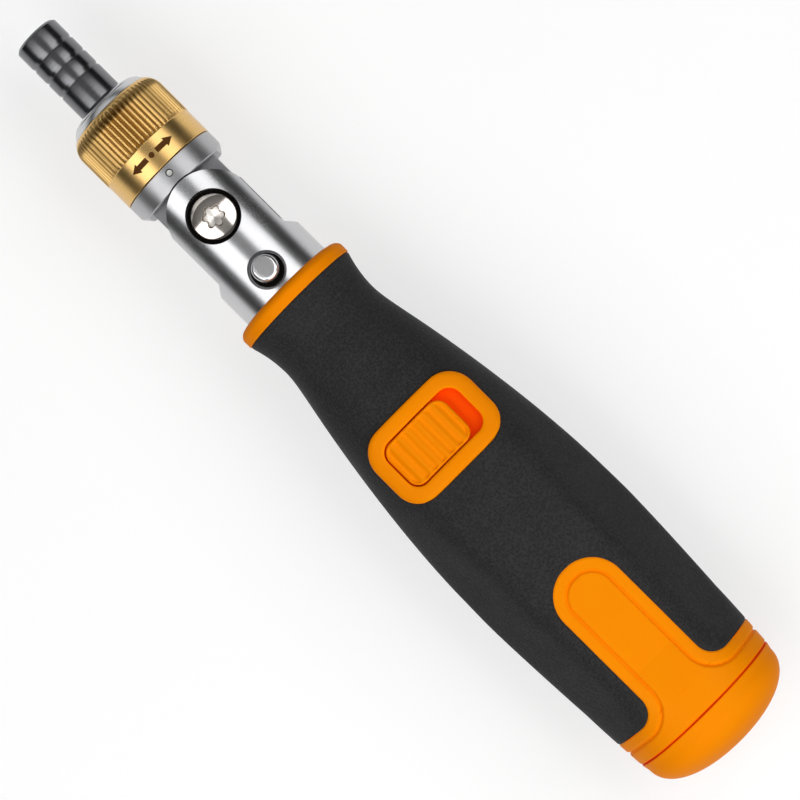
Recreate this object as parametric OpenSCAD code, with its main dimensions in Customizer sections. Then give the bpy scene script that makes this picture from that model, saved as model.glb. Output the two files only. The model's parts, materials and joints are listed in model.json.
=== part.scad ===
// Ratcheting screwdriver with a tilting head and a bit magazine in the handle.
// The tool lies along X: the mouth of the bit socket is at the origin and the tail is at +X.
// The slide switch faces +Z.

/* [Nose] */
// outside diameter of the nose
nose_d = 10; // [9.6:0.1:10.3]
// length of the nose in front of the cap
nose_len = 18.6; // [17.5:0.1:22]
// bevel at the mouth
nose_bevel = 0.6; // [0.2:0.1:0.9]
// width across the flats of the bit socket
socket_af = 6.4; // [6.35:0.01:6.5]
// depth of the bit socket
socket_depth = 12.5; // [11:0.5:14]
// depth of the cone that leads a bit in
socket_lead = 0.8; // [0.3:0.1:1.2]
// distance from the mouth to the first turned line
line_first = 5.1; // [4.4:0.1:5.4]
// distance between turned lines
line_pitch = 3.7; // [3.2:0.1:4.2]
// width of a turned line
line_w = 0.7; // [0.4:0.1:1]
// depth of a turned line
line_depth = 0.25; // [0.1:0.05:0.35]
// distance from the mouth to the snap ring
snap_at = 6.2; // [6:0.1:6.6]
// wire diameter of the snap ring
snap_wire = 0.8; // [0.6:0.1:0.9]
// open angle of the snap ring
snap_gap = 40; // [25:5:70]
// diameter of the bit magnet
magnet_d = 5.4; // [4.5:0.1:6]
// length of the bit magnet
magnet_len = 3; // [2:0.5:3.5]

/* [Ratchet head] */
// length of the cap in front of the ring
cap_len = 2.4; // [1.8:0.1:3.2]
// diameter of the flat front of the cap
cap_front_d = 13.2; // [12:0.1:14.5]
// step from the ring down to the cap
cap_step = 1.85; // [1.7:0.05:2]
// depth of the line turned in the cap
cap_line = 0.3; // [0.1:0.05:0.5]
// length of the selector ring
ring_len = 16.2; // [16:0.1:19]
// diameter of the selector ring
ring_d = 21.7; // [21.6:0.1:24]
// length of the rounded front of the ring
ring_nose = 3; // [2:0.25:4]
// number of flutes round the ring
flute_count = 60; // [40:1:72]
// depth of a flute
flute_depth = 0.4; // [0.2:0.05:0.5]
// length from the front of the ring to the end of the flutes
flute_len = 10.4; // [8:0.1:11]
// depth of the marks in the ring
mark_depth = 0.2; // [0.1:0.05:0.3]
// length of an arrow
arrow_len = 3.9; // [3:0.1:4.4]
// width of an arrow's head
arrow_w = 2; // [1.6:0.1:2.6]
// length of an arrow's head
arrow_head = 1.7; // [1:0.1:2.2]
// width of an arrow's shaft
arrow_shaft = 1.1; // [0.6:0.1:1.3]
// diameter of the dot between the arrows
dot_d = 1.2; // [0.8:0.1:1.4]
// gap between a dot and an arrow
dot_gap = 0.7; // [0.5:0.1:1.2]
// turn of the selector to each side, in degrees
selector_turn = 20; // [15:1:22]
// step from the ring down to the ratchet body
body_step = 0.15; // [0:0.05:0.4]
// length of the ratchet body behind the ring
body_len = 4.6; // [4:0.1:7]
// diameter of the index dimple in the ratchet body
index_d = 1.4; // [0.8:0.1:1.6]
// distance from the ring to the index dimple
index_at = 1.7; // [1.2:0.1:2.2]
// depth of the bevel on either side at the back of the ratchet body
body_bevel = 1.4; // [0.8:0.1:2]
// length of the bevel at the back of the ratchet body
body_bevel_len = 1.5; // [1:0.1:2.2]
// wall of the ring round its hub
ring_wall = 2.55; // [2.45:0.05:2.65]
// number of teeth of the ratchet gear, a multiple of twelve
gear_teeth = 36; // [24:12:36]
// diameter of the ratchet gear
gear_d = 11.2; // [10.8:0.1:11.4]
// depth of a gear tooth
tooth_depth = 0.6; // [0.5:0.05:0.65]
// length of the ratchet gear
gear_len = 9; // [8.5:0.1:9.2]
// diameter of the gear's seat on the spindle
seat_d = 7.2; // [6.8:0.1:7.8]
// width across the flats of the gear's seat
seat_flat = 6; // [5.6:0.1:6.4]
// diameter of the spindle's journal
journal_d = 6; // [5:0.1:6.2]
// wall of the spindle's bush
bush_wall = 0.9; // [0.6:0.1:1.1]
// length of a pawl
pawl_len = 5; // [4:0.25:5.5]
// width of a pawl
pawl_w = 3.4; // [2.6:0.1:3.8]
// outward travel of a pawl
pawl_lift = 0.7; // [0.65:0.01:0.8]
// wire diameter of the pawls' ring spring
pawl_wire = 0.5; // [0.4:0.05:0.6]
// width of the leaf spring under the ring
leaf_w = 2.6; // [2:0.1:3]
// half span of the leaf spring
leaf_span = 4.6; // [4:0.1:4.8]
// thickness of the leaf spring
leaf_t = 0.4; // [0.3:0.05:0.5]

/* [Tilt joint] */
// width of the fork across its flats
fork_w = 17.5; // [17.2:0.1:19]
// reach of the fork's round end past half its width
fork_nose = 0.5; // [0.3:0.1:0.8]
// gap between half the fork's width and the head's shoulder
swing_gap = 0.2; // [0.1:0.05:0.5]
// width of the tang
tang_w = 16.5; // [16.1:0.1:16.9]
// thickness of the tang
tang_t = 7; // [6.4:0.1:7.4]
// thickness of a washer beside the tang
washer_t = 0.5; // [0.4:0.05:0.7]
// diameter of a washer beside the tang
washer_d = 14; // [12:0.5:14.6]
// diameter of the pivot sleeve
pivot_d = 6; // [5:0.1:6.4]
// wall of the bush in the tang
tilt_bush_wall = 1; // [0.6:0.1:1.4]
// diameter of the pivot screw's thread
pivot_thread_d = 4; // [3:0.1:4.4]
// diameter of the screw's head and of the nut's head
pivot_head_d = 9.5; // [8.6:0.1:9.8]
// thickness of the screw's head at its middle
pivot_head_t = 2.6; // [2.4:0.1:2.8]
// diameter of the recess round each head
recess_d = 10.9; // [10.4:0.1:11.4]
// height of the recess floor over the axis
recess_floor = 6.9; // [6.6:0.1:7.2]
// diameter of the star recess in the screw
star_d = 4.8; // [3.8:0.1:5]
// depth of the star recess
star_depth = 1.5; // [0.8:0.1:1.8]
// angle between lock notches
notch_step = 15; // [15:15:30]
// radius of a lock notch
notch_r = 0.8; // [0.7:0.05:0.85]
// distance from the pivot to the end of the fork's flats
flat_len = 9.8; // [9.6:0.1:11]
// length of the slope from the flats to the round neck
flat_runout = 1.9; // [1.6:0.1:2.5]

/* [Neck and lock] */
// diameter of the neck
neck_d = 21.1; // [20.8:0.1:22]
// distance from the pivot to the lock button
button_at = 14.2; // [14.1:0.1:16]
// diameter of the lock button
button_d = 5.6; // [5.4:0.1:6.4]
// height of the lock button over the neck
button_rise = 1.2; // [0:0.1:1.6]
// bevel of the lock button
button_bevel = 0.6; // [0.3:0.1:0.8]
// travel of the lock button and of the lock bar
button_travel = 1.4; // [1.2:0.1:1.5]
// diameter of the dish round the button
dish_d = 7.7; // [7.4:0.1:8.2]
// diameter of the well under the dish
well_d = 6.7; // [6.5:0.1:6.9]
// depth of the well
well_depth = 3; // [2:0.1:3.4]
// distance of the well's middle behind the button
well_shift = 0.45; // [0:0.05:0.5]
// width of the lock bar
bar_w = 6.4; // [6:0.1:6.8]
// height of the lock bar
bar_h = 3; // [2.8:0.1:3.2]
// width of the button's stem
stem_w = 3.4; // [3:0.1:3.6]
// radius of the lock bar's tooth
bar_tooth_r = 0.65; // [0.5:0.05:0.7]
// wire diameter of the lock spring
lock_wire = 0.5; // [0.4:0.05:0.5]
// distance between turns of the lock spring
lock_pitch = 1.3; // [1.2:0.1:1.6]
// diameter of the lock spring
lock_coil_d = 2.9; // [2.6:0.1:3]
// distance from the button to the collar
collar_at = 5; // [4.8:0.1:7]
// diameter of the neck's shank in the handle
shank_d = 15; // [14:0.1:16]
// length of the neck's shank
shank_len = 26; // [22:0.5:26.5]
// diameter of the pin through the shank
neck_pin_d = 3; // [2:0.1:4]
// distance from the front of the grip to the pin
neck_pin_at = 16; // [12:0.5:19]

/* [Handle] */
// radial wall of the collar round the neck
collar_wall = 2.9; // [2.7:0.1:4]
// length of the collar
collar_len = 3.3; // [2.6:0.1:5]
// bevel at the front of the collar
collar_bevel = 2; // [1:0.1:2.2]
// step from the collar down to the grip
flare_step = 0.1; // [0:0.05:0.5]
// diameter of the waist
waist_d = 23.9; // [23.4:0.1:25]
// distance from the front of the grip to the waist
waist_at = 8.3; // [7:0.1:10]
// diameter of the belly over its edges
belly_d = 38.2; // [37.6:0.1:40]
// distance from the front of the grip to the belly
belly_at = 71.4; // [68:0.1:76]
// how much smaller the handle is at the seam than at the belly
tail_taper = 4.1; // [3.5:0.1:4.6]
// length of the handle from the collar to the seam
handle_len = 111; // [110.5:0.1:116]
// share of the radius that the six flats take off
flat_cut = 0.092; // [0.08:0.002:0.096]
// distance from the front of the grip to the start of the front and back flats
flat_from = 22; // [19:0.5:24]
// distance from the front of the grip to the start of the other flats
side_flat_from = 42; // [38:0.5:46]
// length over which the flats come in
flat_ease = 23; // [20:0.5:26]
// length over which the flats fade at the tail
flat_fade = 14; // [12:0.5:16]
// thickness of the grip over the core
grip_t = 2; // [1.6:0.1:2.2]
// length of the orange band at the tail
band_len = 5.8; // [5:0.1:8]
// width of the tongue
tongue_w = 14.9; // [12:0.1:17]
// length of the tongue in front of the seam
tongue_len = 38; // [30:0.5:42]
// radius of the hollow between tongue and band
tongue_fillet = 4.25; // [3:0.25:8]

/* [Switch] */
// distance from the front of the grip to the switch
switch_at = 37.6; // [36.8:0.1:38.5]
// length of the bezel along the tool
bezel_len = 17; // [16:0.1:18]
// width of the bezel across the tool
bezel_w = 25.5; // [24.5:0.1:26]
// radius of the bezel's corners
bezel_r = 5.6; // [4:0.1:7]
// height of the bezel over the flat
bezel_rise = 0.7; // [0.4:0.1:1]
// radius of the bezel's crown
bezel_crown = 26; // [22:0.5:40]
// length of the window along the tool
window_len = 10.8; // [10:0.1:11.5]
// width of the window across the tool
window_w = 19.2; // [18.8:0.1:20]
// radius of the window's corners
window_r = 2.8; // [1.5:0.1:3.4]
// depth of the window under the flat
window_depth = 2.6; // [2.4:0.1:2.8]
// thickness of the bezel's floor
bezel_floor = 1.2; // [1:0.1:1.4]
// travel of the slide switch
switch_travel = 3; // [2.6:0.1:3.2]
// gap round the slide switch
switch_gap = 0.3; // [0.25:0.05:0.4]
// number of ribs on the slide switch
rib_count = 7; // [5:1:9]
// height of a rib
rib_h = 0.6; // [0.3:0.1:0.8]
// diameter of the latch wire
latch_wire_d = 1; // [0.8:0.1:1.1]
// length of the latch block
block_len = 12.4; // [12.2:0.1:12.8]
// diameter of the latch block
block_d = 20; // [19.6:0.1:20.4]

/* [Magazine] */
// length of the tail cap
tail_len = 10.1; // [9:0.1:13]
// wall of the tail cap
tail_wall = 2.4; // [1.8:0.1:3]
// distance from the switch to the front of the magazine
magazine_at = 8.3; // [8.2:0.1:8.8]
// diameter of the bit carrier
carrier_d = 22.2; // [22:0.1:22.4]
// diameter of the carrier's guide
guide_d = 24; // [23.8:0.1:24.2]
// length of the carrier's guide
guide_len = 4; // [3:0.25:4.5]
// radial play of the guide in the bore
guide_play = 0.1; // [0.05:0.01:0.1]
// distance of the bits from the axis
bit_ring_r = 7.2; // [7.15:0.01:7.25]
// bits in one row
bit_count = 5; // [3:1:5]
// width across the flats of a bit
bit_af = 6.35; // [6.3:0.01:6.35]
// length of a bit's tip
bit_tip = 7; // [5:0.5:10]
// diameter of a bit's tip
bit_tip_d = 4.4; // [3:0.1:5]
// radial play of a bit in its pocket
pocket_play = 0.13; // [0.1:0.01:0.2]
// width of a pocket's opening
pocket_mouth = 6; // [5.6:0.1:6.4]
// wall between the two rows of bits
row_wall = 3; // [2.5:0.1:3.5]
// wall behind the rear row of bits
row_end = 3.8; // [3:0.1:6]
// length of the stop ring
stop_len = 3.5; // [2.5:0.1:4]
// distance from the seam to the back of the stop ring
stop_back = 2.5; // [2.2:0.1:3]
// wall of the stop ring's seat
stop_wall = 2; // [1.6:0.1:2.2]
// width of the key in the stop ring
key_w = 2; // [1.6:0.1:2.4]
// depth of the key groove in the carrier
key_depth = 1.2; // [0.8:0.1:1.4]
// diameter of the latch stud
stud_d = 5; // [4.8:0.1:5.4]
// depth of the stud's groove
stud_groove = 1; // [0.8:0.05:1.1]
// wire diameter of the eject spring
eject_wire = 0.8; // [0.6:0.05:0.9]
// mean diameter of the eject spring
eject_coil_d = 10; // [9:0.1:12]

/* [View] */
// node to draw

/* [Hidden] */
$fn = 96;

// overlap of cutting tools past the faces they cut
cut = 0.5;
// play of a shaft in its bore
play = 0.05;
// play of the selector ring on its hub
ring_play = 0.08;
// gap between faces that pass each other
pass = 0.3;
// end play between flat faces
end_play = 0.05;
// small break of a sharp edge
edge = 0.2;

// diameters that follow others
hub_d = ring_d - 2 * ring_wall;
cap_d = ring_d - 2 * cap_step;
body_d = ring_d - 2 * body_step;
collar_d = neck_d + 2 * collar_wall;
flare_d = collar_d - 2 * flare_step;
tail_d = belly_d - tail_taper;

// stations along the tool
ring_x = nose_len + cap_len;
body_x = ring_x + ring_len;
shoulder_x = body_x + body_len;
pivot_x = shoulder_x + fork_w / 2 + swing_gap;
button_x = pivot_x + button_at;
collar_x = button_x + collar_at;
grip_x = collar_x + collar_len;
seam_x = grip_x + handle_len;
switch_x = grip_x + switch_at;
magazine_x = switch_x + magazine_at;

// ratchet head
snap_seat = 0.08;
snap_ring_r = socket_af / sqrt(3) + snap_seat;
flange_t = 1;
skirt_len = 3;
hub_x = ring_x + flange_t;
washer_x = hub_x + end_play;
thrust_t = 0.65;
gear_x = washer_x + thrust_t + end_play;
gear_end = gear_x + gear_len;
bush_x = gear_end + 4 * end_play;
journal_short = 0.5;
journal_end = body_x - journal_short;
skirt_end = ring_x + skirt_len;
gear_hole_r = gear_d / 2 + pass;
bush_r = journal_d / 2 + bush_wall;
pawl_at = 2.2;
pawl_x = gear_x + pawl_at;
pawl_mid = pawl_x + pawl_len / 2;
pawl_proud = 0.2;
pawl_top = hub_d / 2 + pawl_proud;
base_gap = 0.2;
pawl_base = gear_d / 2 + base_gap;
tip_gap = 0.08;
pawl_tip = gear_d / 2 - tooth_depth + tip_gap;
pocket_r = pawl_top + pawl_lift + pass;
pocket_spare = 4;
pocket_half = selector_turn + asin(pawl_w / 2 / pawl_top) + pocket_spare;
spring_r = hub_d / 2 - pawl_wire / 2 - end_play;
spring_half = pawl_wire * 0.7;
leaf_at = 2.2;
leaf_x = body_x - leaf_at;
leaf_depth = 1.9;
leaf_top = hub_d / 2 - leaf_depth;
detent_r = 0.9;
bump_w = 1;
band_drop = 0.1;
bump_reach = 0.45;

// tilt joint and lock
nut_floor = 1;
slot_h = tang_t + 2 * washer_t + 2 * end_play;
fork_end_r = fork_w / 2 + fork_nose;
tang_r = tang_w / 2;
slot_gap = 0.4;
slot_x = pivot_x + tang_r + slot_gap;
bar_x = pivot_x + tang_r + pass;
bar_tail = 6.2;
bar_back = button_x + bar_tail;
ramp_low = -1.2;
stem_front = -2.2;
window_front = stem_front - button_travel - pass;
window_back = ramp_low + bar_h + button_travel;
foot_lip = 0.8;
foot_reach = window_front - foot_lip;
foot_t = 1.1;
foot_gap = 2 * end_play;
foot_spare = 0.8;
plug_r = 3.5;
plug_at = 2;
plug_x = button_x - plug_at;
plug_z = foot_t + bar_h / 2 + button_travel + foot_spare;
plug_inset = 0.6;
lock_turns = 4;
lock_spring_x = bar_back + lock_wire / 2 + end_play;
lock_end = lock_spring_x + lock_turns * lock_pitch + lock_wire;

// handle
belly_ease = 0.07;
tail_power = 1.35;
fade_over = 0.2;
waist_x = grip_x + waist_at;
belly_x = grip_x + belly_at;
band_x = seam_x - band_len;
flare_steps = 6;
long_steps = 20;
stations = concat([for (i = [0:flare_steps - 1]) grip_x + waist_at * i / flare_steps],
  [for (i = [0:long_steps]) waist_x + (seam_x - waist_x) * i / long_steps]);
facet_steps = 12;
facet_from = grip_x + flat_from;
side_facet_from = grip_x + side_flat_from;
block_tail = 2.7;
block_x = switch_x - block_len + block_tail;
block_end = block_x + block_len;
bore_r = guide_d / 2 + guide_play;
seat_r = carrier_d / 2 + pass + stop_wall;
lip_r = carrier_d / 2 + pass;
stop_x = seam_x - stop_back - stop_len;

// switch
switch_z = facet_r(switch_x, facet_from);
switch_fall = facet_r(switch_x + bezel_len / 2, facet_from) - facet_r(switch_x - bezel_len / 2, facet_from);
switch_slope = atan(switch_fall / bezel_len);
bezel_low = -8;
tray_low = -window_depth - bezel_floor;
slider_w = window_w - 2 * switch_gap - switch_travel;
slider_len = window_len - 2 * switch_gap;
slider_y = -window_w / 2 + switch_gap;
slider_r = window_r - switch_gap;
slider_drop = 0.3;
slider_top = bezel_rise - slider_drop;
hook_y = stud_d / 2 - stud_groove + latch_wire_d / 2 + 2 * end_play;
hook_wall = 0.5;
hook_len = 4.4;
hook_low = 5;
wire_gap = 0.4;
wire_side = 0.15;
hook_w = latch_wire_d + 2 * (wire_side + hook_wall);
wire_back = stud_d / 2 + latch_wire_d / 2 + wire_gap;
wire_low = -5;
wire_top = 8.4;
wire_bend = (hook_y + wire_back) / 2;
wire_mid = (hook_y - wire_back) / 2;

// magazine
carrier_end = seam_x - pass;
row_front = 2;
row_x = magazine_x + guide_len + row_front;
bit_slack = 1;
pocket_len = (carrier_end - row_x - row_wall - row_end) / 2;
bit_len = pocket_len - bit_slack;
row2_x = row_x + pocket_len + row_wall;
pocket_hole = bit_af / sqrt(3) + pocket_play;
stud_shank_r = 2;
stud_depth = 8;
cap_stud_r = 2.2;
cap_stud_len = 7;
stud_reach = 4;
stud_tip = switch_x - stud_reach;
eject_turns = 3;
eject_pitch = (magazine_x - block_end - eject_wire - 2 * end_play) / eject_turns;
dome_power = 2.2;
dome_steps = 12;
dome_inset = 0.35;
dome_r = tail_d / 2 - dome_inset;
dome_at = 1.8;
dome_x = seam_x + dome_at;
spigot_len = 2;

echo(lock_spring_gap = lock_pitch - lock_wire, eject_spring_gap = eject_pitch - eject_wire);

// radius of the handle over its edges at a station
function belly_share(u) = sin(90 * u * (1 - exp(-u / belly_ease)));
function handle_r(x) =
  x < waist_x ? waist_d / 2 + (flare_d - waist_d) / 2 * pow((waist_x - x) / waist_at, 2) :
  x < belly_x ? waist_d / 2 + (belly_d - waist_d) / 2 * belly_share((x - waist_x) / (belly_x - waist_x)) :
  belly_d / 2 - (belly_d - tail_d) / 2 * pow((x - belly_x) / (seam_x - belly_x), tail_power);

// distance of the six flats from the axis at a station
function facet_fade(x) = (1 + fade_over) * (seam_x - x) / flat_fade - fade_over;
function facet_share(x, from) = min(1, max(0, (x - from) / flat_ease), facet_fade(x));
function facet_r(x, from) = handle_r(max(x, from)) * (1 - flat_cut * facet_share(x, from));
function core_r(x) = min(handle_r(x), facet_r(x, facet_from)) - grip_t;

// helical spring along X as one closed tube
function coil_ring(r, wire, pitch, a, sides) =
  [for (j = [0:sides - 1]) let (b = 360 * j / sides, q = r + wire / 2 * cos(b))
    [pitch * a / 360 + wire / 2 * sin(b), q * cos(a), q * sin(a)]];

module coil(d, wire, pitch, turns) {
  sides = 6;
  turn_step = 30;
  steps = turns * 360 / turn_step;
  points = [for (i = [0:steps]) each coil_ring(d / 2, wire, pitch, i * turn_step, sides)];
  skin = [for (i = [0:steps - 1], j = [0:sides - 1])
    let (k = (j + 1) % sides, p = i * sides + j, q = i * sides + k)
    each [[p, q, q + sides], [p, q + sides, p + sides]]];
  ends = [[for (j = [sides - 1:-1:0]) j], [for (j = [0:sides - 1]) steps * sides + j]];
  polyhedron(points, concat(skin, ends));
}

// solid of revolution along X from [x, r] points
module turned(outline) {
  rotate([0, 90, 0]) rotate_extrude() polygon([for (p = outline) [p[1], p[0]]]);
}

module rod(r, x0, x1) {
  translate([x0, 0, 0]) rotate([0, 90, 0]) cylinder(r = r, h = x1 - x0);
}

module tube(r_out, r_in, x0, x1) {
  difference() {
    rod(r_out, x0, x1);
    rod(r_in, x0 - cut, x1 + cut);
  }
}

// box along X, centred on the axis
module bar(x0, x1, w, h) {
  translate([x0, -w / 2, -h / 2]) cube([x1 - x0, w, h]);
}

// upright cylinder
module post(x, r, z0, z1) {
  translate([x, 0, z0]) cylinder(r = r, h = z1 - z0);
}

module round_block(len, w, r, z0, z1) {
  translate([0, 0, z0]) linear_extrude(z1 - z0) union() {
    square([len - 2 * r, w], center = true);
    square([len, w - 2 * r], center = true);
    for (i = [-1, 1], j = [-1, 1]) translate([i * (len / 2 - r), j * (w / 2 - r)]) circle(r);
  }
}

// hexagonal rod along X with a flat facing +Y
module hex_rod(af, x0, x1) {
  translate([x0, 0, 0]) rotate([0, 90, 0]) cylinder(r = af / sqrt(3), h = x1 - x0, $fn = 6);
}

// flat profile in the YZ plane, drawn out along X
module along(x0, x1, outline) {
  translate([x0, 0, 0]) rotate([90, 0, 90]) linear_extrude(x1 - x0) polygon(outline);
}

// spindle
module spindle_seat(x0, x1) {
  intersection() {
    rod(seat_d / 2, x0, x1);
    bar(x0, x1, seat_flat, seat_d);
  }
}

module bit_holder() {
  r = nose_d / 2;
  lines = [for (i = [0:2]) let (x = line_first + i * line_pitch)
    each [[x - line_w / 2, r], [x - line_w / 4, r - line_depth], [x + line_w / 4, r - line_depth],
      [x + line_w / 2, r]]];
  snap_r = snap_ring_r + snap_wire / 2 + end_play;
  snap_half = snap_wire / 2 + end_play;
  color([0.82, 0.82, 0.84]) difference() {
    union() {
      turned(concat([[0, 0], [0, r - nose_bevel], [nose_bevel, r]], lines, [[gear_x, r], [gear_x, 0]]));
      spindle_seat(gear_x - cut, gear_end);
      rod(journal_d / 2, gear_end - cut, journal_end);
    }
    hex_rod(socket_af, -cut, socket_depth);
    turned([[-cut, 0], [-cut, socket_af / 2 + socket_lead + cut], [socket_lead, socket_af / 2],
      [socket_lead, 0]]);
    rod(magnet_d / 2, socket_depth - cut, socket_depth + magnet_len);
    tube(snap_r, socket_af / 2, snap_at - snap_half, snap_at + snap_half);
  }
}

module ratchet_gear() {
  step = 360 / gear_teeth;
  tip = gear_d / 2;
  land = 0.16;
  a0 = 0.5 - land / 2;
  a1 = 0.5 + land / 2;
  teeth = [for (i = [0:gear_teeth - 1])
    each [[(tip - tooth_depth) * cos(i * step), (tip - tooth_depth) * sin(i * step)],
      [tip * cos((i + a0) * step), tip * sin((i + a0) * step)],
      [tip * cos((i + a1) * step), tip * sin((i + a1) * step)]]];
  color([0.45, 0.45, 0.48]) difference() {
    along(gear_x, gear_end, teeth);
    spindle_seat(gear_x - cut, gear_end + cut);
  }
}

module bit_magnet() {
  color([0.3, 0.3, 0.32]) rod(magnet_d / 2, socket_depth, socket_depth + magnet_len);
}

module bit_snap_ring() {
  color([0.6, 0.6, 0.62]) translate([snap_at, 0, 0]) rotate([0, 90, 0])
    rotate_extrude(angle = 360 - snap_gap) translate([snap_ring_r, 0]) circle(snap_wire / 2);
}

// ratchet head
module front_cap() {
  r = cap_d / 2;
  f = cap_front_d / 2;
  bore = nose_d / 2 + play;
  line_x = nose_len + cap_len / 2;
  line_r = (f + r) / 2;
  color([0.78, 0.78, 0.8]) turned([[nose_len, bore], [nose_len, f - edge], [nose_len + edge, f],
    [line_x - cap_line, line_r], [line_x, line_r], [line_x + cap_line / 2, line_r - cap_line],
    [line_x + cap_line, line_r], [ring_x, r], [skirt_end, r], [skirt_end, hub_d / 2], [hub_x, hub_d / 2],
    [hub_x, bore]]);
}

module thrust_washer() {
  color([0.72, 0.56, 0.3])
    tube(gear_hole_r - 2 * end_play, nose_d / 2 + play, washer_x, washer_x + thrust_t);
}

module arrow(side) {
  tail = dot_d / 2 + dot_gap;
  neck = tail + arrow_len - arrow_head;
  polygon([[-arrow_shaft / 2, side * tail], [arrow_shaft / 2, side * tail],
    [arrow_shaft / 2, side * neck], [arrow_w / 2, side * neck], [0, side * (tail + arrow_len)],
    [-arrow_w / 2, side * neck], [-arrow_shaft / 2, side * neck]]);
}

module ring_marks() {
  mark_x = ring_x + (flute_len + ring_len) / 2;
  difference() {
    translate([mark_x, 0, 0]) linear_extrude(ring_d) union() {
      circle(dot_d / 2);
      arrow(1);
      arrow(-1);
    }
    rod(ring_d / 2 - band_drop - mark_depth, ring_x - cut, body_x + cut);
  }
}

module ring_flutes() {
  step = 360 / flute_count;
  top = ring_d / 2 + cut;
  low = ring_d / 2 - flute_depth;
  high = ring_d / 2 + end_play / 2;
  land = 0.25;
  star = [for (i = [0:flute_count - 1])
    each [[high * cos((i - land) * step), high * sin((i - land) * step)],
      [high * cos((i + land) * step), high * sin((i + land) * step)],
      [low * cos((i + 0.5) * step), low * sin((i + 0.5) * step)]]];
  difference() {
    rod(top + cut, ring_x - cut, ring_x + flute_len);
    along(ring_x - 2 * cut, ring_x + flute_len + cut, star);
  }
}

module selector_ring() {
  r = ring_d / 2;
  bore = hub_d / 2 + ring_play;
  front = ring_x + end_play;
  front_r = cap_d / 2 + pass;
  lip_t = 0.5;
  nose_steps = 6;
  nose = [for (i = [0:nose_steps]) let (a = 90 * i / nose_steps)
    [front + ring_nose * (1 - cos(a)), front_r + lip_t + (r - front_r - lip_t) * sin(a)]];
  color([0.83, 0.66, 0.34]) difference() {
    turned(concat([[front, front_r]], nose, [[ring_x + flute_len, r],
      [ring_x + flute_len + band_drop, r - band_drop], [body_x - end_play, r - band_drop],
      [body_x - end_play, bore], [skirt_end + end_play, bore], [skirt_end + end_play, front_r]]));
    ring_flutes();
    ring_marks();
    for (side = [0, 180]) rotate([side, 0, 0]) translate([pawl_x - pass, 0, 0]) rotate([-pocket_half, 0, 0])
      rotate([0, 90, 0]) rotate([0, 0, 90]) rotate_extrude(angle = 2 * pocket_half)
        square([pocket_r, pawl_len + 2 * pass]);
    for (a = [-1, 0, 1]) rotate([a * selector_turn, 0, 0]) translate([0, 0, -bore])
      rod(detent_r, leaf_x - leaf_w / 2 - pass, leaf_x + leaf_w / 2 + pass);
  }
}

// seen from the front, the body has a bevel on either side, so that it clears the neck when the head is tilted
module body_plan() {
  wide = body_d / 2 + cut;
  narrow = body_d / 2 - body_bevel * (1 + cut / body_bevel_len);
  bevel_x = shoulder_x - body_bevel_len * (1 + cut / body_bevel);
  end_x = shoulder_x + cut;
  translate([0, 0, -body_d]) linear_extrude(2 * body_d) polygon([[body_x - cut, -wide], [bevel_x, -wide],
    [end_x, -narrow], [end_x, narrow], [bevel_x, wide], [body_x - cut, wide]]);
}

module ratchet_body() {
  r = body_d / 2;
  color([0.75, 0.75, 0.77]) difference() {
    union() {
      rod(hub_d / 2, hub_x, body_x + cut);
      intersection() {
        turned([[body_x, 0], [body_x, r - edge], [body_x + edge, r], [shoulder_x - edge, r],
          [shoulder_x, r - edge], [shoulder_x, 0]]);
        body_plan();
      }
      bar(shoulder_x - cut, pivot_x, tang_w, tang_t);
      post(pivot_x, tang_r, -tang_t / 2, tang_t / 2);
    }
    rod(gear_hole_r, hub_x - cut, bush_x);
    rod(bush_r, bush_x - cut, journal_end + pass);
    bar(pawl_x - play, pawl_x + pawl_len + play, hub_d + cut, pawl_w + 2 * play);
    tube(hub_d, spring_r - pawl_wire / 2 - end_play, pawl_mid - spring_half, pawl_mid + spring_half);
    translate([leaf_x - leaf_w / 2 - play, -leaf_span - edge, -hub_d])
      cube([leaf_w + 2 * play, 2 * (leaf_span + edge), hub_d - leaf_top]);
    post(pivot_x, pivot_d / 2 + tilt_bush_wall, -tang_t, tang_t);
    for (a = [-90:notch_step:90]) translate([pivot_x, 0, 0]) rotate([0, 0, a])
      post(tang_r, notch_r, -tang_t, tang_t);
    post(pivot_x, fork_end_r + pass, tang_t / 2, neck_d);
    post(pivot_x, fork_end_r + pass, -neck_d, -tang_t / 2);
    translate([body_x + index_at, 0, r]) sphere(d = index_d);
  }
}

module spindle_bush() {
  color([0.72, 0.56, 0.3]) tube(bush_r, journal_d / 2 + play, bush_x, journal_end + 2 * end_play);
}

// block with one tooth that is steep on one side, sprung inwards
module pawl() {
  lead = 0.42;
  steep = 0.2;
  difference() {
    along(pawl_x, pawl_x + pawl_len, [[pawl_top, -pawl_w / 2], [pawl_top, pawl_w / 2],
      [pawl_base, pawl_w / 2], [pawl_base, lead], [pawl_tip, 0], [pawl_base, -steep],
      [pawl_base, -pawl_w / 2]]);
    tube(hub_d, spring_r - pawl_wire / 2 - end_play / 2, pawl_mid - spring_half, pawl_mid + spring_half);
  }
}

module pawl_left() {
  color([0.4, 0.4, 0.43]) pawl();
}

module pawl_right() {
  color([0.4, 0.4, 0.43]) rotate([180, 0, 0]) pawl();
}

module pawl_spring() {
  color([0.55, 0.55, 0.58]) translate([pawl_mid, 0, 0]) rotate([0, 90, 0]) rotate([0, 0, 15])
    rotate_extrude(angle = 330) translate([spring_r, 0]) circle(pawl_wire / 2);
}

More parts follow.
